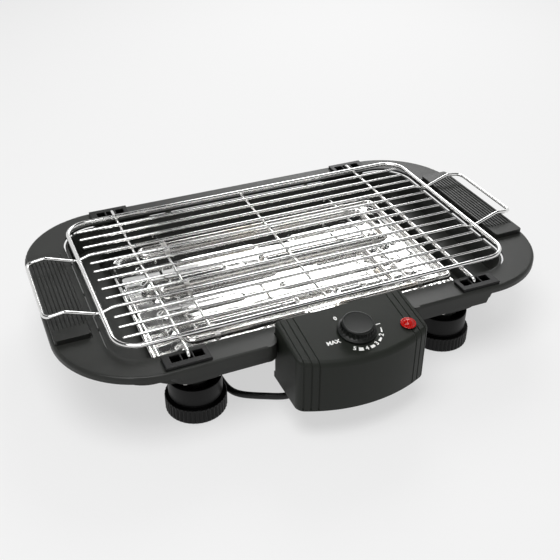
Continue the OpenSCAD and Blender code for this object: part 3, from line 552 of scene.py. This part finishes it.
def jewel(name, base):
    """Red moulded lens: glossy, deeper towards the middle of its inner ribs."""
    f = Finish(name, Coat_Roughness=0.04, Specular_IOR_Level=0.25)
    ribs = f.node("ShaderNodeTexWave", {"wave_type": "BANDS", "bands_direction": "X"},
                  {"Vector": f.place, "Scale": 190.0, "Distortion": 1.2, "Detail": 1.0}, "Fac")
    f.feed("Base Color", f.blend(ribs, shade(base, 0.55), shade(base, 1.5)))
    f.feed("Roughness", 0.08 + ribs * 0.06)
    f.feed("Coat Weight", 0.12)
    f.relief(ribs, 0.00012)
    return f.material


def printed(name, base):
    """Pad-printed white ink, slightly uneven where it covers the plastic's grain."""
    f = Finish(name)
    worn = f.spread(f.noise(1800.0, 2.0, 0.6), 0.55, 0.85, 0.0, 0.5)
    f.feed("Base Color", f.blend(worn, base, shade(base, 0.55)))
    f.feed("Roughness", 0.5 + worn * 0.2)
    return f.material


MADE = {}


def finish_of(kind):
    """The finish of that name, made once from the settings."""
    if kind not in MADE:
        scene = bpy.context.scene
        plastic, metal = scene.grill_plastic, scene.grill_metal
        lead, marks = scene.grill_lead, scene.grill_marks
        tub, box, foot = tuple(plastic.tub), tuple(plastic.box), tuple(plastic.foot)
        make = {
            "tub": lambda: moulded("tub plastic", tub),
            "box": lambda: moulded("control box plastic", box, 0.47, 0.00005, 0.35, 0.25),
            "foot": lambda: moulded("foot plastic", foot, 0.38, 0.00004, 0.2, 0.2),
            "seat": lambda: moulded("rack seat plastic", foot, 0.42, 0.00005, 0.2, 0.25),
            "pad": lambda: moulded("grip pad plastic", shade(tub, 0.8), 0.36),
            "knob": lambda: moulded("knob plastic", tuple(plastic.knob), 0.34, 0.00003, 0.25),
            "wire": lambda: plated("plated wire", tuple(metal.wire)),
            "sheet": lambda: pressed("pressed sheet", tuple(metal.sheet), metal.tremble),
            "heater": lambda: heated("heating tube", tuple(metal.heater)),
            "steel": lambda: turned_steel("plated steel", (0.62, 0.61, 0.59)),
            "pin": lambda: turned_steel("plug pins", (0.72, 0.70, 0.66), 0.2),
            "sole": lambda: rubber("sole rubber", (0.012, 0.012, 0.012)),
            "lead": lambda: rubber("lead jacket", tuple(lead.jacket), 0.42),
            "ceramic": lambda: fired("fired ceramic"),
            "lens": lambda: jewel("lamp lens", tuple(marks.lens)),
            "print": lambda: printed("dial print", tuple(marks.print)),
        }
        MADE[kind] = make[kind]()
    return MADE[kind]


# ---------------------------------------------------------------- view and lead
class SCENE_OT_grill_view(bpy.types.Operator):
    """Puts the camera where the grill is seen from above its front left corner"""
    bl_idname = "scene.grill_view"
    bl_label = "Camera"

    def execute(self, context):
        data = bpy.data.cameras.new("view")
        data.sensor_width = 36.0
        data.lens = 53.302
        data.clip_start, data.clip_end = 0.01, 50.0
        camera = bpy.data.objects.new("view", data)
        camera.matrix_world = Matrix((
            (0.9178544, 0.2193505, -0.3308, -0.289683),
            (-0.3969143, 0.5103902, -0.7628636, -0.665652 + SHIFT * MM),
            (0.0015026, 0.8314969, 0.5555273, 0.5236),
            (0.0, 0.0, 0.0, 1.0)))
        context.scene.collection.objects.link(camera)
        context.scene.camera = camera
        return {"FINISHED"}


# The route of the lead from the control box to the coil, and from the coil to the plug
LEAD = [(-39, -141, 17), (-41.5, -139.5, 12.8), (-45, -137.5, 8.8), (-49.5, -135, 5.8),
        (-55, -132, 3.9), (-61, -129, 3.3), (-67, -126, 3.3), (-78, -120.5, 3.3),
        (-88, -114.5, 3.3), (-94.5, -108, 3.3), (-98, -99.5, 3.3), (-99.5, -89, 3.3),
        (-100, -76, 3.3), (-100, -60, 3.3), (-100, -40, 3.3), (-99.5, -14, 3.3), (-99, 14, 3.3),
        (-98.5, 44, 3.3), (-98, 74, 3.3), (-97.5, 102, 3.3), (-97, 126, 3.3), (-97, 148, 3.3),
        (-97, 166, 3.3), (-97, 176, 3.3)]
TAIL = [(-13, 177, 10.25), (-13, 171, 10.25), (-11.8, 163, 8.4), (-8.2, 155.5, 5.2),
        (-2.2, 149.4, 4), (5, 145.8, 4.6), (13, 144.3, 7.6), (22, 144, 12), (31, 144, 16),
        (39, 144, 18.2), (46, 144, 18.8)]


def coil(turns=2, centre=(-55, 184), outer=42.0, pitch=7.0, low=3.3, high=10.25, dip=2.4):
    """Two flat spirals, one on the other: radius outer - pitch t going in, half a turn of
    climb, and the same radii going out again above."""
    inner = outer - turns * pitch
    t = np.arange(0, (2 * turns + 0.5) * 24 + 1) / 24
    climb = np.clip(t - turns, 0, 0.5)
    r = np.where(t <= turns, outer - pitch * t,
                 np.where(t >= turns + 0.5, inner + pitch * (t - turns - 0.5),
                          inner - dip * np.sin(2 * np.pi * climb)))
    z = low + (high - low) * (1 - np.cos(2 * np.pi * climb)) / 2
    a = 2 * np.pi * t
    return np.stack([centre[0] - r * np.cos(a), centre[1] + r * np.sin(a), z], -1)


class MESH_OT_grill_lead(bpy.types.Operator):
    """Makes the mains lead with its coil, its grommet, its strap and its plug"""
    bl_idname = "mesh.grill_lead"
    bl_label = "Mains lead"

    def execute(self, context):
        lead = context.scene.grill_lead
        route = np.vstack([LEAD, coil(), TAIL])
        path = spots(flowing(route, 4.0))
        mesh = mesh_of("mains_lead", [wire(path, lead.width, 16, dome=False)])
        cord = show("mains_lead", mesh, finish_of("lead"), None,
                    ("cord_lead", "cord_run", "cord_coil", "cord_tail"))
        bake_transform(cord)
        plug = show("plug_shell", copy_of("plug_body", "plug_shell"), finish_of("lead"), "base",
                    ("plug_body",))
        soften(plug, 0.0008, 3)
        strap = show("coil_strap", copy_of("cord_tie", "coil_strap"), finish_of("sole"), "base",
                     ("cord_tie",))
        soften(strap, 0.00025)
        a, b = spot(-30, -146, 35.5), spot(-39, -141, 17)
        # The grommet tapers, and its outer 70 % has five ribs
        ridge = np.linspace(0, 1, 34)
        ribs = 0.5 - 0.5 * np.cos(2 * np.pi * np.clip((ridge - 0.3) / 0.7, 0, 1) * 5)
        radius = 4.7 - 0.85 * ridge - 0.45 * ribs * (ridge > 0.3)
        step = unit(b - a)
        side = unit(np.cross((0, 0, 1), step))
        top = np.cross(step, side)
        v = (np.arange(32) * np.pi / 16)[None, :, None]
        grid = (a + (b - a) * ridge[:, None])[:, None] + radius[:, None, None] * MM * (
            np.cos(v) * side + np.sin(v) * top)
        show("lead_grommet", mesh_of("lead_grommet", [rings(grid)]), finish_of("sole"), "heater",
             ("strain_relief",))
        return {"FINISHED"}


# ---------------------------------------------------------------- tub, seats, pads, feet
class MESH_OT_grill_tub(bpy.types.Operator):
    """Makes the tub, the rack seats and the grip pads with softened moulded edges"""
    bl_idname = "mesh.grill_tub"
    bl_label = "Tub, seats and grip pads"

    def execute(self, context):
        edge = context.scene.grill_plastic.edge
        tub = show("tub_shell", copy_of("base_body", "tub_shell"), finish_of("tub"), "base",
                   ("base_body",))
        soften(tub, edge, 2)
        for name in ("fl", "fr", "bl", "br"):
            seat = show("rack_seat_" + name, copy_of("bracket_" + name, "rack_seat_" + name),
                        finish_of("seat"), "base", ("bracket_" + name,))
            soften(seat, edge * 1.2, 3)
        for side in ("left", "right"):
            pad = show("grip_" + side, copy_of("grip_pad_" + side, "grip_" + side),
                       finish_of("pad"), "base", ("grip_pad_" + side,))
            soften(pad, edge, 2)
        return {"FINISHED"}


class MESH_OT_grill_feet(bpy.types.Operator):
    """Makes the four twist-on feet with their ribbed rings and smooth collars"""
    bl_idname = "mesh.grill_feet"
    bl_label = "Feet"

    def execute(self, context):
        profile = soft_profile([
            (0.02, 7.5, 0), (12.06, 7.5, 0.2), (12.06, 20.0, 0.4), (22.6, 20.0, 0.5),
            (22.6, 36.5, 0.6), (25.0, 36.5, 0.8), (25.0, 18.5, 0.7), (23.4, 18.2, 0.3),
            (23.4, 16.1, 0.3), (28.7, 16.0, 1.3), (28.7, 0.9, 0.9), (23.75, 0.9, 0.3),
            (23.75, 2.5, 0.1), (0.02, 2.5, 0)], 5)
        band = np.column_stack([np.full(12, 28.7), np.linspace(14.6, 1.9, 12)])
        at = int(np.argmax(np.isclose(profile[:, 0], 28.7) & (profile[:, 1] > 14)))
        profile = np.vstack([profile[:at + 1], band, profile[at + 1:]])

        def ribbed(r, z, v):
            """Round-topped ribs: the radius drops by up to 1 mm between them, less at the ends."""
            fade = np.clip((z - 0.9) / 1.1, 0, 1) * np.clip((16.0 - z) / 1.5, 0, 1) * (r > 26)
            return r - 1.0 * fade * (0.5 - 0.5 * np.cos(44 * v)) ** 1.6

        body = {"fl": "foot_front_left", "fr": "foot_front_right",
                "bl": "foot_back_left", "br": "foot_back_right"}
        for name, (sx, sy) in {"fl": (-1, -1), "fr": (1, -1), "bl": (-1, 1), "br": (1, 1)}.items():
            part = turned(profile, spot(sx * LEG[0], sy * LEG[1], 0), count=352, shape=ribbed)
            show("foot_ring_" + name, mesh_of("foot_ring_" + name, [part]), finish_of("foot"),
                 body[name], ("foot_" + name,), 40)
        return {"FINISHED"}


# ---------------------------------------------------------------- tray
def capsule(x, y, x0, x1, yc, wide):
    """Distance from the edge of a bar with round ends, positive inside."""
    r = wide / 2
    nearest = np.clip(x, x0 + r, x1 - r)
    return r - np.hypot(x - nearest, y - yc)


def ease(t):
    t = np.clip(t, 0, 1)
    return t * t * (3 - 2 * t)


class MESH_OT_grill_tray(bpy.types.Operator):
    """Presses the drip tray: a shallow pan with rows of embossed bars"""
    bl_idname = "mesh.grill_tray"
    bl_label = "Drip tray"

    def execute(self, context):
        metal = context.scene.grill_metal
        long, wide, corner = 163.0, 106.0, 26.0
        v = np.linspace(-wide, wide, 179)[:, None]
        u = np.linspace(-1, 1, 187)[None, :]
        over = np.clip(np.abs(v) - (wide - corner), 0, corner)
        half = long - corner + np.sqrt(corner ** 2 - over ** 2)
        x, y = u * half, v + 0 * u
        # How far each point lies inside the tray's round-cornered outline
        dx, dy = np.abs(x) - (long - corner), np.abs(y) - (wide - corner)
        inside = corner - np.hypot(np.maximum(dx, 0), np.maximum(dy, 0))
        inside = inside - np.minimum(np.maximum(dx, dy), 0)
        z = TRAY_Z + 4.5 - 4.1 * ease((inside - 4.0) / 3.4) - 0.25 * (1 - ease(inside / 1.2))
        rise = np.zeros_like(z)
        reach = long - 26
        for i in range(6):
            yc, mid = (i - 2.5) * 29.0, (-26, 20)[i % 2]
            for x0, x1 in ((-reach, mid - 20), (mid + 20, reach)):
                depth = capsule(x, y, x0, x1, yc, 15.0)
                crown = np.sqrt(np.clip(depth / 7.5, 0, 1))
                rise = np.maximum(rise, 0.8 * ease(depth / 2.8) + 0.2 * crown)
        z = z + rise * metal.boss / MM * 0.97
        swell = np.sin(x / 13 + 1.3 * np.sin(y / 31)) * np.sin(y / 11)
        z = z + 0.05 * (1 + swell) * ease((inside - 8) / 6)
        verts = spots(np.stack([x, y, z], -1)).reshape(-1, 3)
        faces = quads(*z.shape, wrap_cols=False).tolist()
        tray = show("tray_pressing", mesh_of("tray_pressing", [(verts, faces)], False),
                    finish_of("sheet"), "tray", ("drip_tray",), 60)
        solid = tray.modifiers.new("sheet", "SOLIDIFY")
        solid.thickness = 0.0004
        solid.offset = -1.0
        return {"FINISHED"}


# ---------------------------------------------------------------- heating unit
def element_route():
    """The tube's way from one end at the neck to the other, in six rows."""
    rows = [-98 + (i // 2) * 78 + (i % 2) * 12 for i in range(6)]
    flat = [(-14, -147), (-14, rows[0]), (-132, rows[0]), (-132, rows[1]), (86, rows[1]),
            (86, rows[2]), (-132, rows[2]), (-132, rows[3]), (120, rows[3]), (120, rows[4]),
            (-132, rows[4]), (-132, rows[5]), (142, rows[5]), (142, rows[0]), (14, rows[0]),
            (14, -147)]
    return bent([(x, y, TUBE_Z) for x, y in flat], 5.98, 12)


class MESH_OT_grill_heater(bpy.types.Operator):
    """Bends the heating tube and its support rods, and softens the neck's plate"""
    bl_idname = "mesh.grill_heater"
    bl_label = "Heating tube"

    def execute(self, context):
        tube = mesh_of("heating_tube", [wire(spots(element_route()), 0.0065, 18)])
        show("heating_tube", tube, finish_of("heater"), "heater",
             ("heating_element",))
        low = round(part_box("support_rods")[0].z / MM, 3)
        high = TUBE_Z - 3.25 - 1.5 + 0.3
        rods = [wire(spots(bridge(s * 105, 114.5, low + 1.5, high, 5.0)), 0.003, 12, up=(1, 0, 0))
                for s in (-1, 1)]
        show("tube_rods", mesh_of("tube_rods", rods), finish_of("wire"), "heater",
             ("support_rods",))
        neck = show("neck_plate", copy_of("element_flange", "neck_plate"), finish_of("steel"),
                    "heater", ("element_flange",))
        soften(neck, 0.0002)
        return {"FINISHED"}


# ---------------------------------------------------------------- control box
BOW_Y = -57.5


def box_outline():
    """The box's plan, counter-clockwise, with the outward direction at each point: two sides,
    a bowed front of radius 140 between corner arcs of radius 10, and a straight back."""
    deg = np.radians
    turn = math.degrees(math.acos(53.5 / 130))
    arcs = [((-60.5, -134.0), 3.0, deg(np.linspace(90, 180, 7))),
            ((-53.5, -175.98), 10.0, deg(np.linspace(180, 180 + turn, 15))),
            ((0.0, BOW_Y), 140.0, deg(np.linspace(180 + turn, 360 - turn, 61))[1:-1]),
            ((53.5, -175.98), 10.0, deg(np.linspace(360 - turn, 360, 15))),
            ((60.5, -134.0), 3.0, deg(np.linspace(0, 90, 7)))]
    out = [np.column_stack([np.cos(a), np.sin(a)]) for _, _, a in arcs]
    points = [np.array(centre) + r * way for (centre, r, _), way in zip(arcs, out)]
    return np.vstack(points), np.vstack(out)


def box_form(inset, low, crease, top_edge=2.5):
    """The box as rings of its plan. Going up, the rings rise straight and then round over:
    inward by e (1 - cos t) and down by e (1 - sin t) from the sloping top, where the
    rounding e is the crease at the front and less at the sides and the back."""
    points, out = box_outline()
    points = points - out * inset
    front = np.clip(-out[:, 1], 0, 1) ** 2
    back = np.clip(out[:, 1], 0, 1) ** 2
    e = np.maximum(top_edge + (crease - top_edge) * front - 1.3 * back - inset, 0.2)
    rows = []
    for t in [None] + list(np.radians(np.linspace(0, 90, 9))):
        tuck = 0 * e if t is None else e * (1 - math.cos(t))
        plan = points - out * tuck[:, None]
        top = BOX_TOP - inset + (plan[:, 1] + BOX_BACK) * math.tan(TILT)
        z = np.full(len(e), low) if t is None else top - e * (1 - math.sin(t))
        rows.append(np.column_stack([plan, z]))
    verts, faces = rings(np.stack(rows))
    return spots(verts), faces


def box_front(x):
    """How far forward the bowed front reaches at x."""
    return BOW_Y - math.sqrt(140 ** 2 - x * x)


def groove_tool(x, depth, crease):
    """A thin upright slice whose lower edge follows the box's top, crease and front. It is
    sunk by depth in its middle and rises clear of the plastic 0.9 mm to each side."""
    front = box_front(x)
    top = lambda y: BOX_TOP + (y + BOX_BACK) * math.tan(TILT)
    yc = front + crease
    zc = top(yc) - crease
    a = np.radians(np.linspace(99, 180, 9))
    slices = []
    for side, sunk in ((-0.9, -0.1), (-0.35, depth), (0.35, depth), (0.9, -0.1)):
        arc = np.column_stack([yc + (crease - sunk) * np.cos(a), zc + (crease - sunk) * np.sin(a)])
        edge = np.vstack([[-120, top(-120) - sunk], arc, [front + sunk, 32],
                          [front - 8, 32], [front - 8, 110], [-120, 110]])
        slices.append(np.column_stack([np.full(len(edge), x + side), edge]))
    verts, faces = rings(np.stack(slices))
    return spots(verts), faces


def round_tool(at, radius, low, high, count=64):
    a = np.arange(count) * 2 * np.pi / count
    circle = np.column_stack([np.cos(a), np.sin(a)]) * radius * MM
    lean = Matrix.Translation(at) @ Matrix.Rotation(TILT, 4, "X")
    return moved(prism(circle, low * MM, high * MM), lean)


def on_top(x, y):
    """A place on the box's sloping top."""
    return spot(x, -y, BOX_TOP - (y - BOX_BACK) * math.tan(TILT))


class MESH_OT_grill_box(bpy.types.Operator):
    """Moulds the control box: rounded shell, grooves over the crease, and holes"""
    bl_idname = "mesh.grill_box"
    bl_label = "Control box"

    def execute(self, context):
        plastic = context.scene.grill_plastic
        crease, depth = plastic.crease / MM, plastic.groove / MM
        split = round(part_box("control_cover")[0].z / MM, 3)
        grooves = mesh_of("tool", [groove_tool(s * (59 - 6.2 * i), depth, crease)
                                   for s in (-1, 1) for i in range(3)])
        shell = show("box_cover", mesh_of("box_cover", [box_form(0.0, split, crease)]),
                     finish_of("box"), "heater", ("control_cover",))
        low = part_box("element_flange")[0].z / MM
        neck = prism([(-38, -133), (38, -133), (38, -120), (-38, -120)], low - 1, low + 20)
        cut(shell, [mesh_of("tool", [box_form(2.4, split - 5, crease)]), grooves.copy(),
                    mesh_of("tool", [round_tool(on_top(0, KNOB_Y), 4.0, -10, 10),
                                     round_tool(on_top(*LAMP), 5.2, -10, 10)]),
                    mesh_of("tool", [(spots(neck[0]), neck[1])])])
        shell.modifiers.new("shading", "WEIGHTED_NORMAL").keep_sharp = True
        tub = show("box_tub", copy_of("control_tub", "box_tub"), finish_of("box"), "heater",
                   ("control_tub",))
        cut(tub, [grooves])
        tub.modifiers.new("shading", "WEIGHTED_NORMAL").keep_sharp = True
        return {"FINISHED"}


def lettering(words, size, matrix):
    """A short word as a thin solid mesh, thickened a little, laid out by the matrix."""
    curve = bpy.data.curves.new("letters", "FONT")
    curve.body = words
    curve.size = size
    curve.align_x = curve.align_y = "CENTER"
    curve.extrude = 0.00004
    curve.offset = size * 0.032
    curve.resolution_u = 3
    obj = bpy.data.objects.new("letters", curve)
    bpy.context.scene.collection.objects.link(obj)
    bpy.context.view_layer.update()
    mesh = bpy.data.meshes.new_from_object(obj.evaluated_get(bpy.context.evaluated_depsgraph_get()))
    mesh.transform(matrix)
    bpy.data.objects.remove(obj)
    return mesh


class MESH_OT_grill_dial(bpy.types.Operator):
    """Prints the dial's numbers and its swelling bars round the knob"""
    bl_idname = "mesh.grill_dial"
    bl_label = "Dial"

    def execute(self, context):
        marks = context.scene.grill_marks
        plane = Matrix.Translation(on_top(0, KNOB_Y)) @ Matrix.Rotation(TILT, 4, "X")
        lift = 0.00006
        bm = bmesh.new()
        for words, angle in (("1", 2), ("2", -33), ("3", -63.5), ("4", -92), ("5", -121)):
            a = math.radians(angle)
            at = Matrix.Translation((marks.radius * math.cos(a), marks.radius * math.sin(a), lift))
            turn = Matrix.Rotation(a + math.pi / 2, 4, "Z")
            bm.from_mesh(lettering(words, marks.size, plane @ at @ turn))
        for words, x, y in (("0", -0.0113, 0.0195), ("MAX", -0.0255, -0.0064)):
            bm.from_mesh(lettering(words, marks.size, plane @ Matrix.Translation((x, y, lift))))
        bars = []
        for i, (start, end) in enumerate(((-10, -24), (-42, -54), (-72, -83), (-101, -112))):
            a = np.radians(np.linspace(start, end, 9))
            r = marks.radius / MM + 0.3
            half = np.linspace(0.45 + 0.42 * i, 0.75 + 0.42 * i, 9)
            way = np.column_stack([np.cos(a), np.sin(a)])
            rim = np.vstack([(r + half)[:, None] * way, ((r - half)[:, None] * way)[::-1]])
            bars.append(moved(prism(rim * MM, 0.00002, 0.0001), plane))
        bm.from_mesh(mesh_of("bars", bars))
        mesh = bpy.data.meshes.new("dial_marks")
        bm.to_mesh(mesh)
        bm.free()
        show("dial_marks", mesh, finish_of("print"), "heater", (), 20)
        return {"FINISHED"}


class MESH_OT_grill_knob(bpy.types.Operator):
    """Turns the fluted knob and the red lamp lens"""
    bl_idname = "mesh.grill_knob"
    bl_label = "Knob and lamp"

    def execute(self, context):
        profile = soft_profile([
            (0.02, 0.45, 0), (17.4, 0.45, 0.3), (17.4, 2.7, 0.6), (15.2, 3.1, 0.4),
            (14.75, 4.4, 0.5), (14.35, 7.6, 0.5), (14.2, 8.6, 0.3), (14.2, 9.7, 0.5),
            (13.3, 10.5, 0.5), (12.5, 10.5, 0.3), (12.2, 10.15, 0.25), (0.02, 10.1, 0)], 4)
        lower = np.linspace(4.6, 7.4, 6)[:, None]
        at = int(np.searchsorted(profile[:, 1] * (np.arange(len(profile)) < 30), 4.5))
        side = np.hstack([14.75 - (lower - 4.4) * 0.125, lower])
        profile = np.vstack([profile[:at], side, profile[at:]])

        def fluted(r, z, v):
            """Shallow hollows: the radius drops by up to 1.1 mm, fading out above and below."""
            fade = ease((z - 3.0) / 0.9) * ease((8.5 - z) / 1.0) * (r > 12)
            return r - 1.1 * fade * (0.5 + 0.5 * np.cos(24 * v)) ** 0.7

        knob = turned(profile, on_top(0, KNOB_Y), TILT, 288, fluted)
        show("knob_cap", mesh_of("knob_cap", [knob]), finish_of("knob"), "knob",
             ("knob",), 40)
        rise, r = 3.3, 6.1
        ball = (r * r + rise * rise) / (2 * rise)
        a = np.linspace(math.asin(r / ball), 0.02, 12)
        dome = np.column_stack([ball * np.sin(a), 1.1 + rise - ball + ball * np.cos(a)])
        stem = soft_profile([(0.02, -2.9, 0), (3.7, -2.9, 0.2), (3.7, 1.03, 0.05),
                             (7.0, 1.03, 0.1), (7.0, 1.5, 0.2), (6.1, 1.7, 0)])
        lens = turned(np.vstack([stem, dome[1:]]), on_top(*LAMP), TILT, 64)
        show("lamp_dome", mesh_of("lamp_dome", [lens]), finish_of("lens"), "heater",
             ("lamp_lens",), 40)
        return {"FINISHED"}


# ---------------------------------------------------------------- rack
class MESH_OT_grill_rack(bpy.types.Operator):
    """Bends the rack's wires, with their legs, handles and weld beads"""
    bl_idname = "mesh.grill_rack"
    bl_label = "Rack"

    def execute(self, context):
        metal = context.scene.grill_metal
        chrome = finish_of("wire")
        z = RACK_Z
        loop = bent([(-198, -113, z + 2.25), (198, -113, z + 2.25), (198, 113, z + 2.25),
                     (-198, 113, z + 2.25)], 23, 20, True)
        show("rack_loop", mesh_of("rack_loop", [wire(spots(loop), 0.0045, 20, True)]), chrome,
             "rack", ("rack_frame",))
        bars = [wire(spots([(x, i * 16, z + 1.5) for x in (-187.75, -60, 60, 187.75)]), 0.003, 14)
                for i in range(-6, 7) if abs(i) != 3]
        show("rack_rods", mesh_of("rack_rods", bars), chrome, "rack", ("rack_bars",))
        under, end = z - 1.3, round(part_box("rack_cross_wires")[0].z / MM, 3)
        cross = [wire(spots(bridge(s * 143, 135, end + 1.6, under, 4.5)), 0.0032, 14, up=(1, 0, 0))
                 for s in (-1, 1)]
        cross.append(wire(spots([(0, y, under) for y in (-111.4, 0, 111.4)]), 0.0032, 14))
        show("rack_crosswires", mesh_of("rack_crosswires", cross), chrome, "rack",
             ("rack_cross_wires",))
        show("rack_handles", mesh_of("rack_handles", [self.handles(z, metal.bend / MM)]), chrome,
             "rack", ("rack_handle_wire",))
        welds = [bead(spot(x, i * 16, z + 0.05), 2.1, 0.9)
                 for x in (-143, 0, 143) for i in range(-6, 7)]
        welds += [bead(spot(x, y, z + 0.15), 2.3, 1.0) for x in (-143, 0, 143) for y in (-113, 113)]
        welds += [bead(spot(x, y, z + 0.1), 2.2, 0.9) for x in (-198, 198) for y in (-48, 48)]
        show("rack_welds", mesh_of("rack_welds", welds), finish_of("steel"), "rack",
             (), 60)
        return {"FINISHED"}

    def handles(self, z, bend):
        """One closed wire: two long runs between the bars, which dip under the loop, rise
        again and end in the two handle loops."""
        half = [(186, z + 1.5), (195, z - 1.5), (203, z - 1.5), (229, z + 8.2), (247, z + 6)]
        quarters = [[(sx * x, sy * 48, h) for x, h in half[::order]]
                    for sx, sy, order in ((1, -1, 1), (1, 1, -1), (-1, 1, 1), (-1, -1, -1))]
        ring = np.vstack(quarters).astype(float)
        out = []
        n = len(ring)
        k = np.linspace(0, 1, 9)[:, None]
        for i in range(n):
            a, b, c = ring[i - 1], ring[i], ring[(i + 1) % n]
            u, w = unit(a - b), unit(c - b)
            half_angle = math.acos(np.clip(u @ w, -1, 1)) / 2
            room = min(np.linalg.norm(a - b), np.linalg.norm(c - b)) * 0.48
            tight = min((bend if half_angle < 0.9 else 9.0) / math.tan(half_angle), room)
            p, q = b + u * tight, b + w * tight
            out.append((1 - k) ** 2 * p + 2 * k * (1 - k) * b + k * k * q)
        return wire(spots(np.vstack(out)), 0.0036, 16, True)


# ---------------------------------------------------------------- the rest
PLAIN = {"steel": ("grip_screws", "leg_screws", "cover_screws", "thermal_cutout", "knob_shaft",
                   "support_clips"),
         "sole": ("sole_fl", "sole_fr", "sole_bl", "sole_br"),
         "ceramic": ("insulators", "terminal_block", "thermostat"),
         "seat": ("lamp_holder",), "pin": ("plug_pins",)}


class OBJECT_OT_grill_finishes(bpy.types.Operator):
    """Gives each part that keeps its plain shape its finish"""
    bl_idname = "object.grill_finishes"
    bl_label = "Finishes of the small parts"

    def execute(self, context):
        for kind, names in PLAIN.items():
            for name in names:
                for place in NODES[name].material_slots:
                    place.material = finish_of(kind)
        return {"FINISHED"}


class SCENE_OT_grill_stage(bpy.types.Operator):
    """Lays the pale floor and lights it with one large soft lamp and a pale sky"""
    bl_idname = "scene.grill_stage"
    bl_label = "Stage"

    def execute(self, context):
        scene = context.scene
        stage = scene.grill_stage
        scene.view_settings.view_transform = "Standard"
        mesh = bpy.data.meshes.new("floor")
        mesh.from_pydata([(x, y, -0.0003) for x, y in ((-4, -4), (4, -4), (4, 4), (-4, 4))], [],
                         [(0, 1, 2, 3)])
        floor = bpy.data.objects.new("floor", mesh)
        scene.collection.objects.link(floor)
        mesh.materials.append(self.paint(tuple(stage.floor)))
        scene.world = self.room(stage.sky)
        for name, at, size, power in (("key", (-0.4, -0.35, 1.6), 1.1, stage.key),
                                      ("back", (0.7, 1.2, 1.1), 0.9, stage.key * 0.6)):
            data = bpy.data.lights.new(name, "AREA")
            data.shape = "DISK"
            data.size = size
            data.energy = power
            lamp = bpy.data.objects.new(name, data)
            direction = -Matrix.Translation(at).to_translation()
            turn = direction.to_track_quat("-Z", "Y").to_matrix().to_4x4()
            lamp.matrix_world = Matrix.Translation(at) @ turn
            scene.collection.objects.link(lamp)
        return {"FINISHED"}

    def paint(self, base):
        """Matt paint that glows a little for the camera and for shiny things."""
        f = Finish("floor paint", Base_Color=base, Roughness=0.9, Specular_IOR_Level=0.0)
        seen = f.node("ShaderNodeLightPath", {}, {}, "Is Camera Ray")
        glossy = f.node("ShaderNodeLightPath", {}, {}, "Is Glossy Ray")
        glow = f.node("ShaderNodeEmission", {}, {})
        plain = Amount(f, f.shader.outputs["BSDF"])
        both = f.node("ShaderNodeMixShader", {}, {0: (seen + glossy) * 0.6, 1: plain, 2: glow})
        out = next(n for n in f.tree.nodes if n.type == "OUTPUT_MATERIAL")
        f.join(both, out.inputs["Surface"])
        return f.material

    def room(self, sky):
        """The world: a plain sky for the light, white for the camera, and for shiny metal a
        white room with a dark ceiling, which gives it its black streaks."""
        world = bpy.data.worlds.new("pale sky")
        world.use_nodes = True
        tree = world.node_tree
        tree.nodes.clear()

        def add(kind, sockets, **settings):
            made = tree.nodes.new(kind)
            for key, value in settings.items():
                setattr(made, key, value)
            for key, value in sockets.items():
                if isinstance(value, bpy.types.NodeSocket):
                    tree.links.new(value, made.inputs[key])
                else:
                    made.inputs[key].default_value = value
            return made.outputs

        path = add("ShaderNodeLightPath", {})
        way = add("ShaderNodeSeparateXYZ", {0: add("ShaderNodeTexCoord", {})["Generated"]})
        ceiling = add("ShaderNodeMapRange", {"Value": way["Z"], "From Min": 0.53, "From Max": 0.6,
                                             "To Min": 1.0, "To Max": 0.06},
                      interpolation_type="SMOOTHSTEP")
        level = add("ShaderNodeMath", {0: ceiling["Result"], 1: path["Is Camera Ray"]},
                    operation="MAXIMUM")
        either = add("ShaderNodeMath", {0: path["Is Camera Ray"], 1: path["Is Glossy Ray"]},
                     operation="ADD", use_clamp=True)
        plain = add("ShaderNodeBackground", {"Strength": sky})
        bright = add("ShaderNodeBackground", {"Strength": level[0]})
        choose = add("ShaderNodeMixShader", {0: either[0], 1: plain[0], 2: bright[0]})
        add("ShaderNodeOutputWorld", {"Surface": choose[0]})
        return world


# ---------------------------------------------------------------- panel and main
STEPS = (SCENE_OT_grill_view, MESH_OT_grill_lead, MESH_OT_grill_tub, MESH_OT_grill_feet,
         MESH_OT_grill_tray, MESH_OT_grill_heater, MESH_OT_grill_box, MESH_OT_grill_dial,
         MESH_OT_grill_knob, MESH_OT_grill_rack, OBJECT_OT_grill_finishes, SCENE_OT_grill_stage)


class VIEW3D_PT_grill(bpy.types.Panel):
    bl_label = "Electric table grill"
    bl_idname = "VIEW3D_PT_grill"
    bl_space_type = "VIEW_3D"
    bl_region_type = "UI"
    bl_category = "Grill"

    def draw(self, context):
        for name, group in GROUPS.items():
            column = self.layout.column(align=True)
            for key in group.__annotations__:
                column.prop(getattr(context.scene, name), key)
        for step in STEPS:
            self.layout.operator(step.bl_idname)


CLASSES = (*GROUPS.values(), *STEPS, VIEW3D_PT_grill)


def register():
    for cls in CLASSES:
        bpy.utils.register_class(cls)
    for name, group in GROUPS.items():
        setattr(bpy.types.Scene, name, bpy.props.PointerProperty(type=group))


def unregister():
    for name in GROUPS:
        delattr(bpy.types.Scene, name)
    for cls in reversed(CLASSES):
        bpy.utils.unregister_class(cls)


def main():
    register()
    for step in STEPS:
        space, name = step.bl_idname.split(".")
        getattr(getattr(bpy.ops, space), name)()


if __name__ == "__main__":
    main()
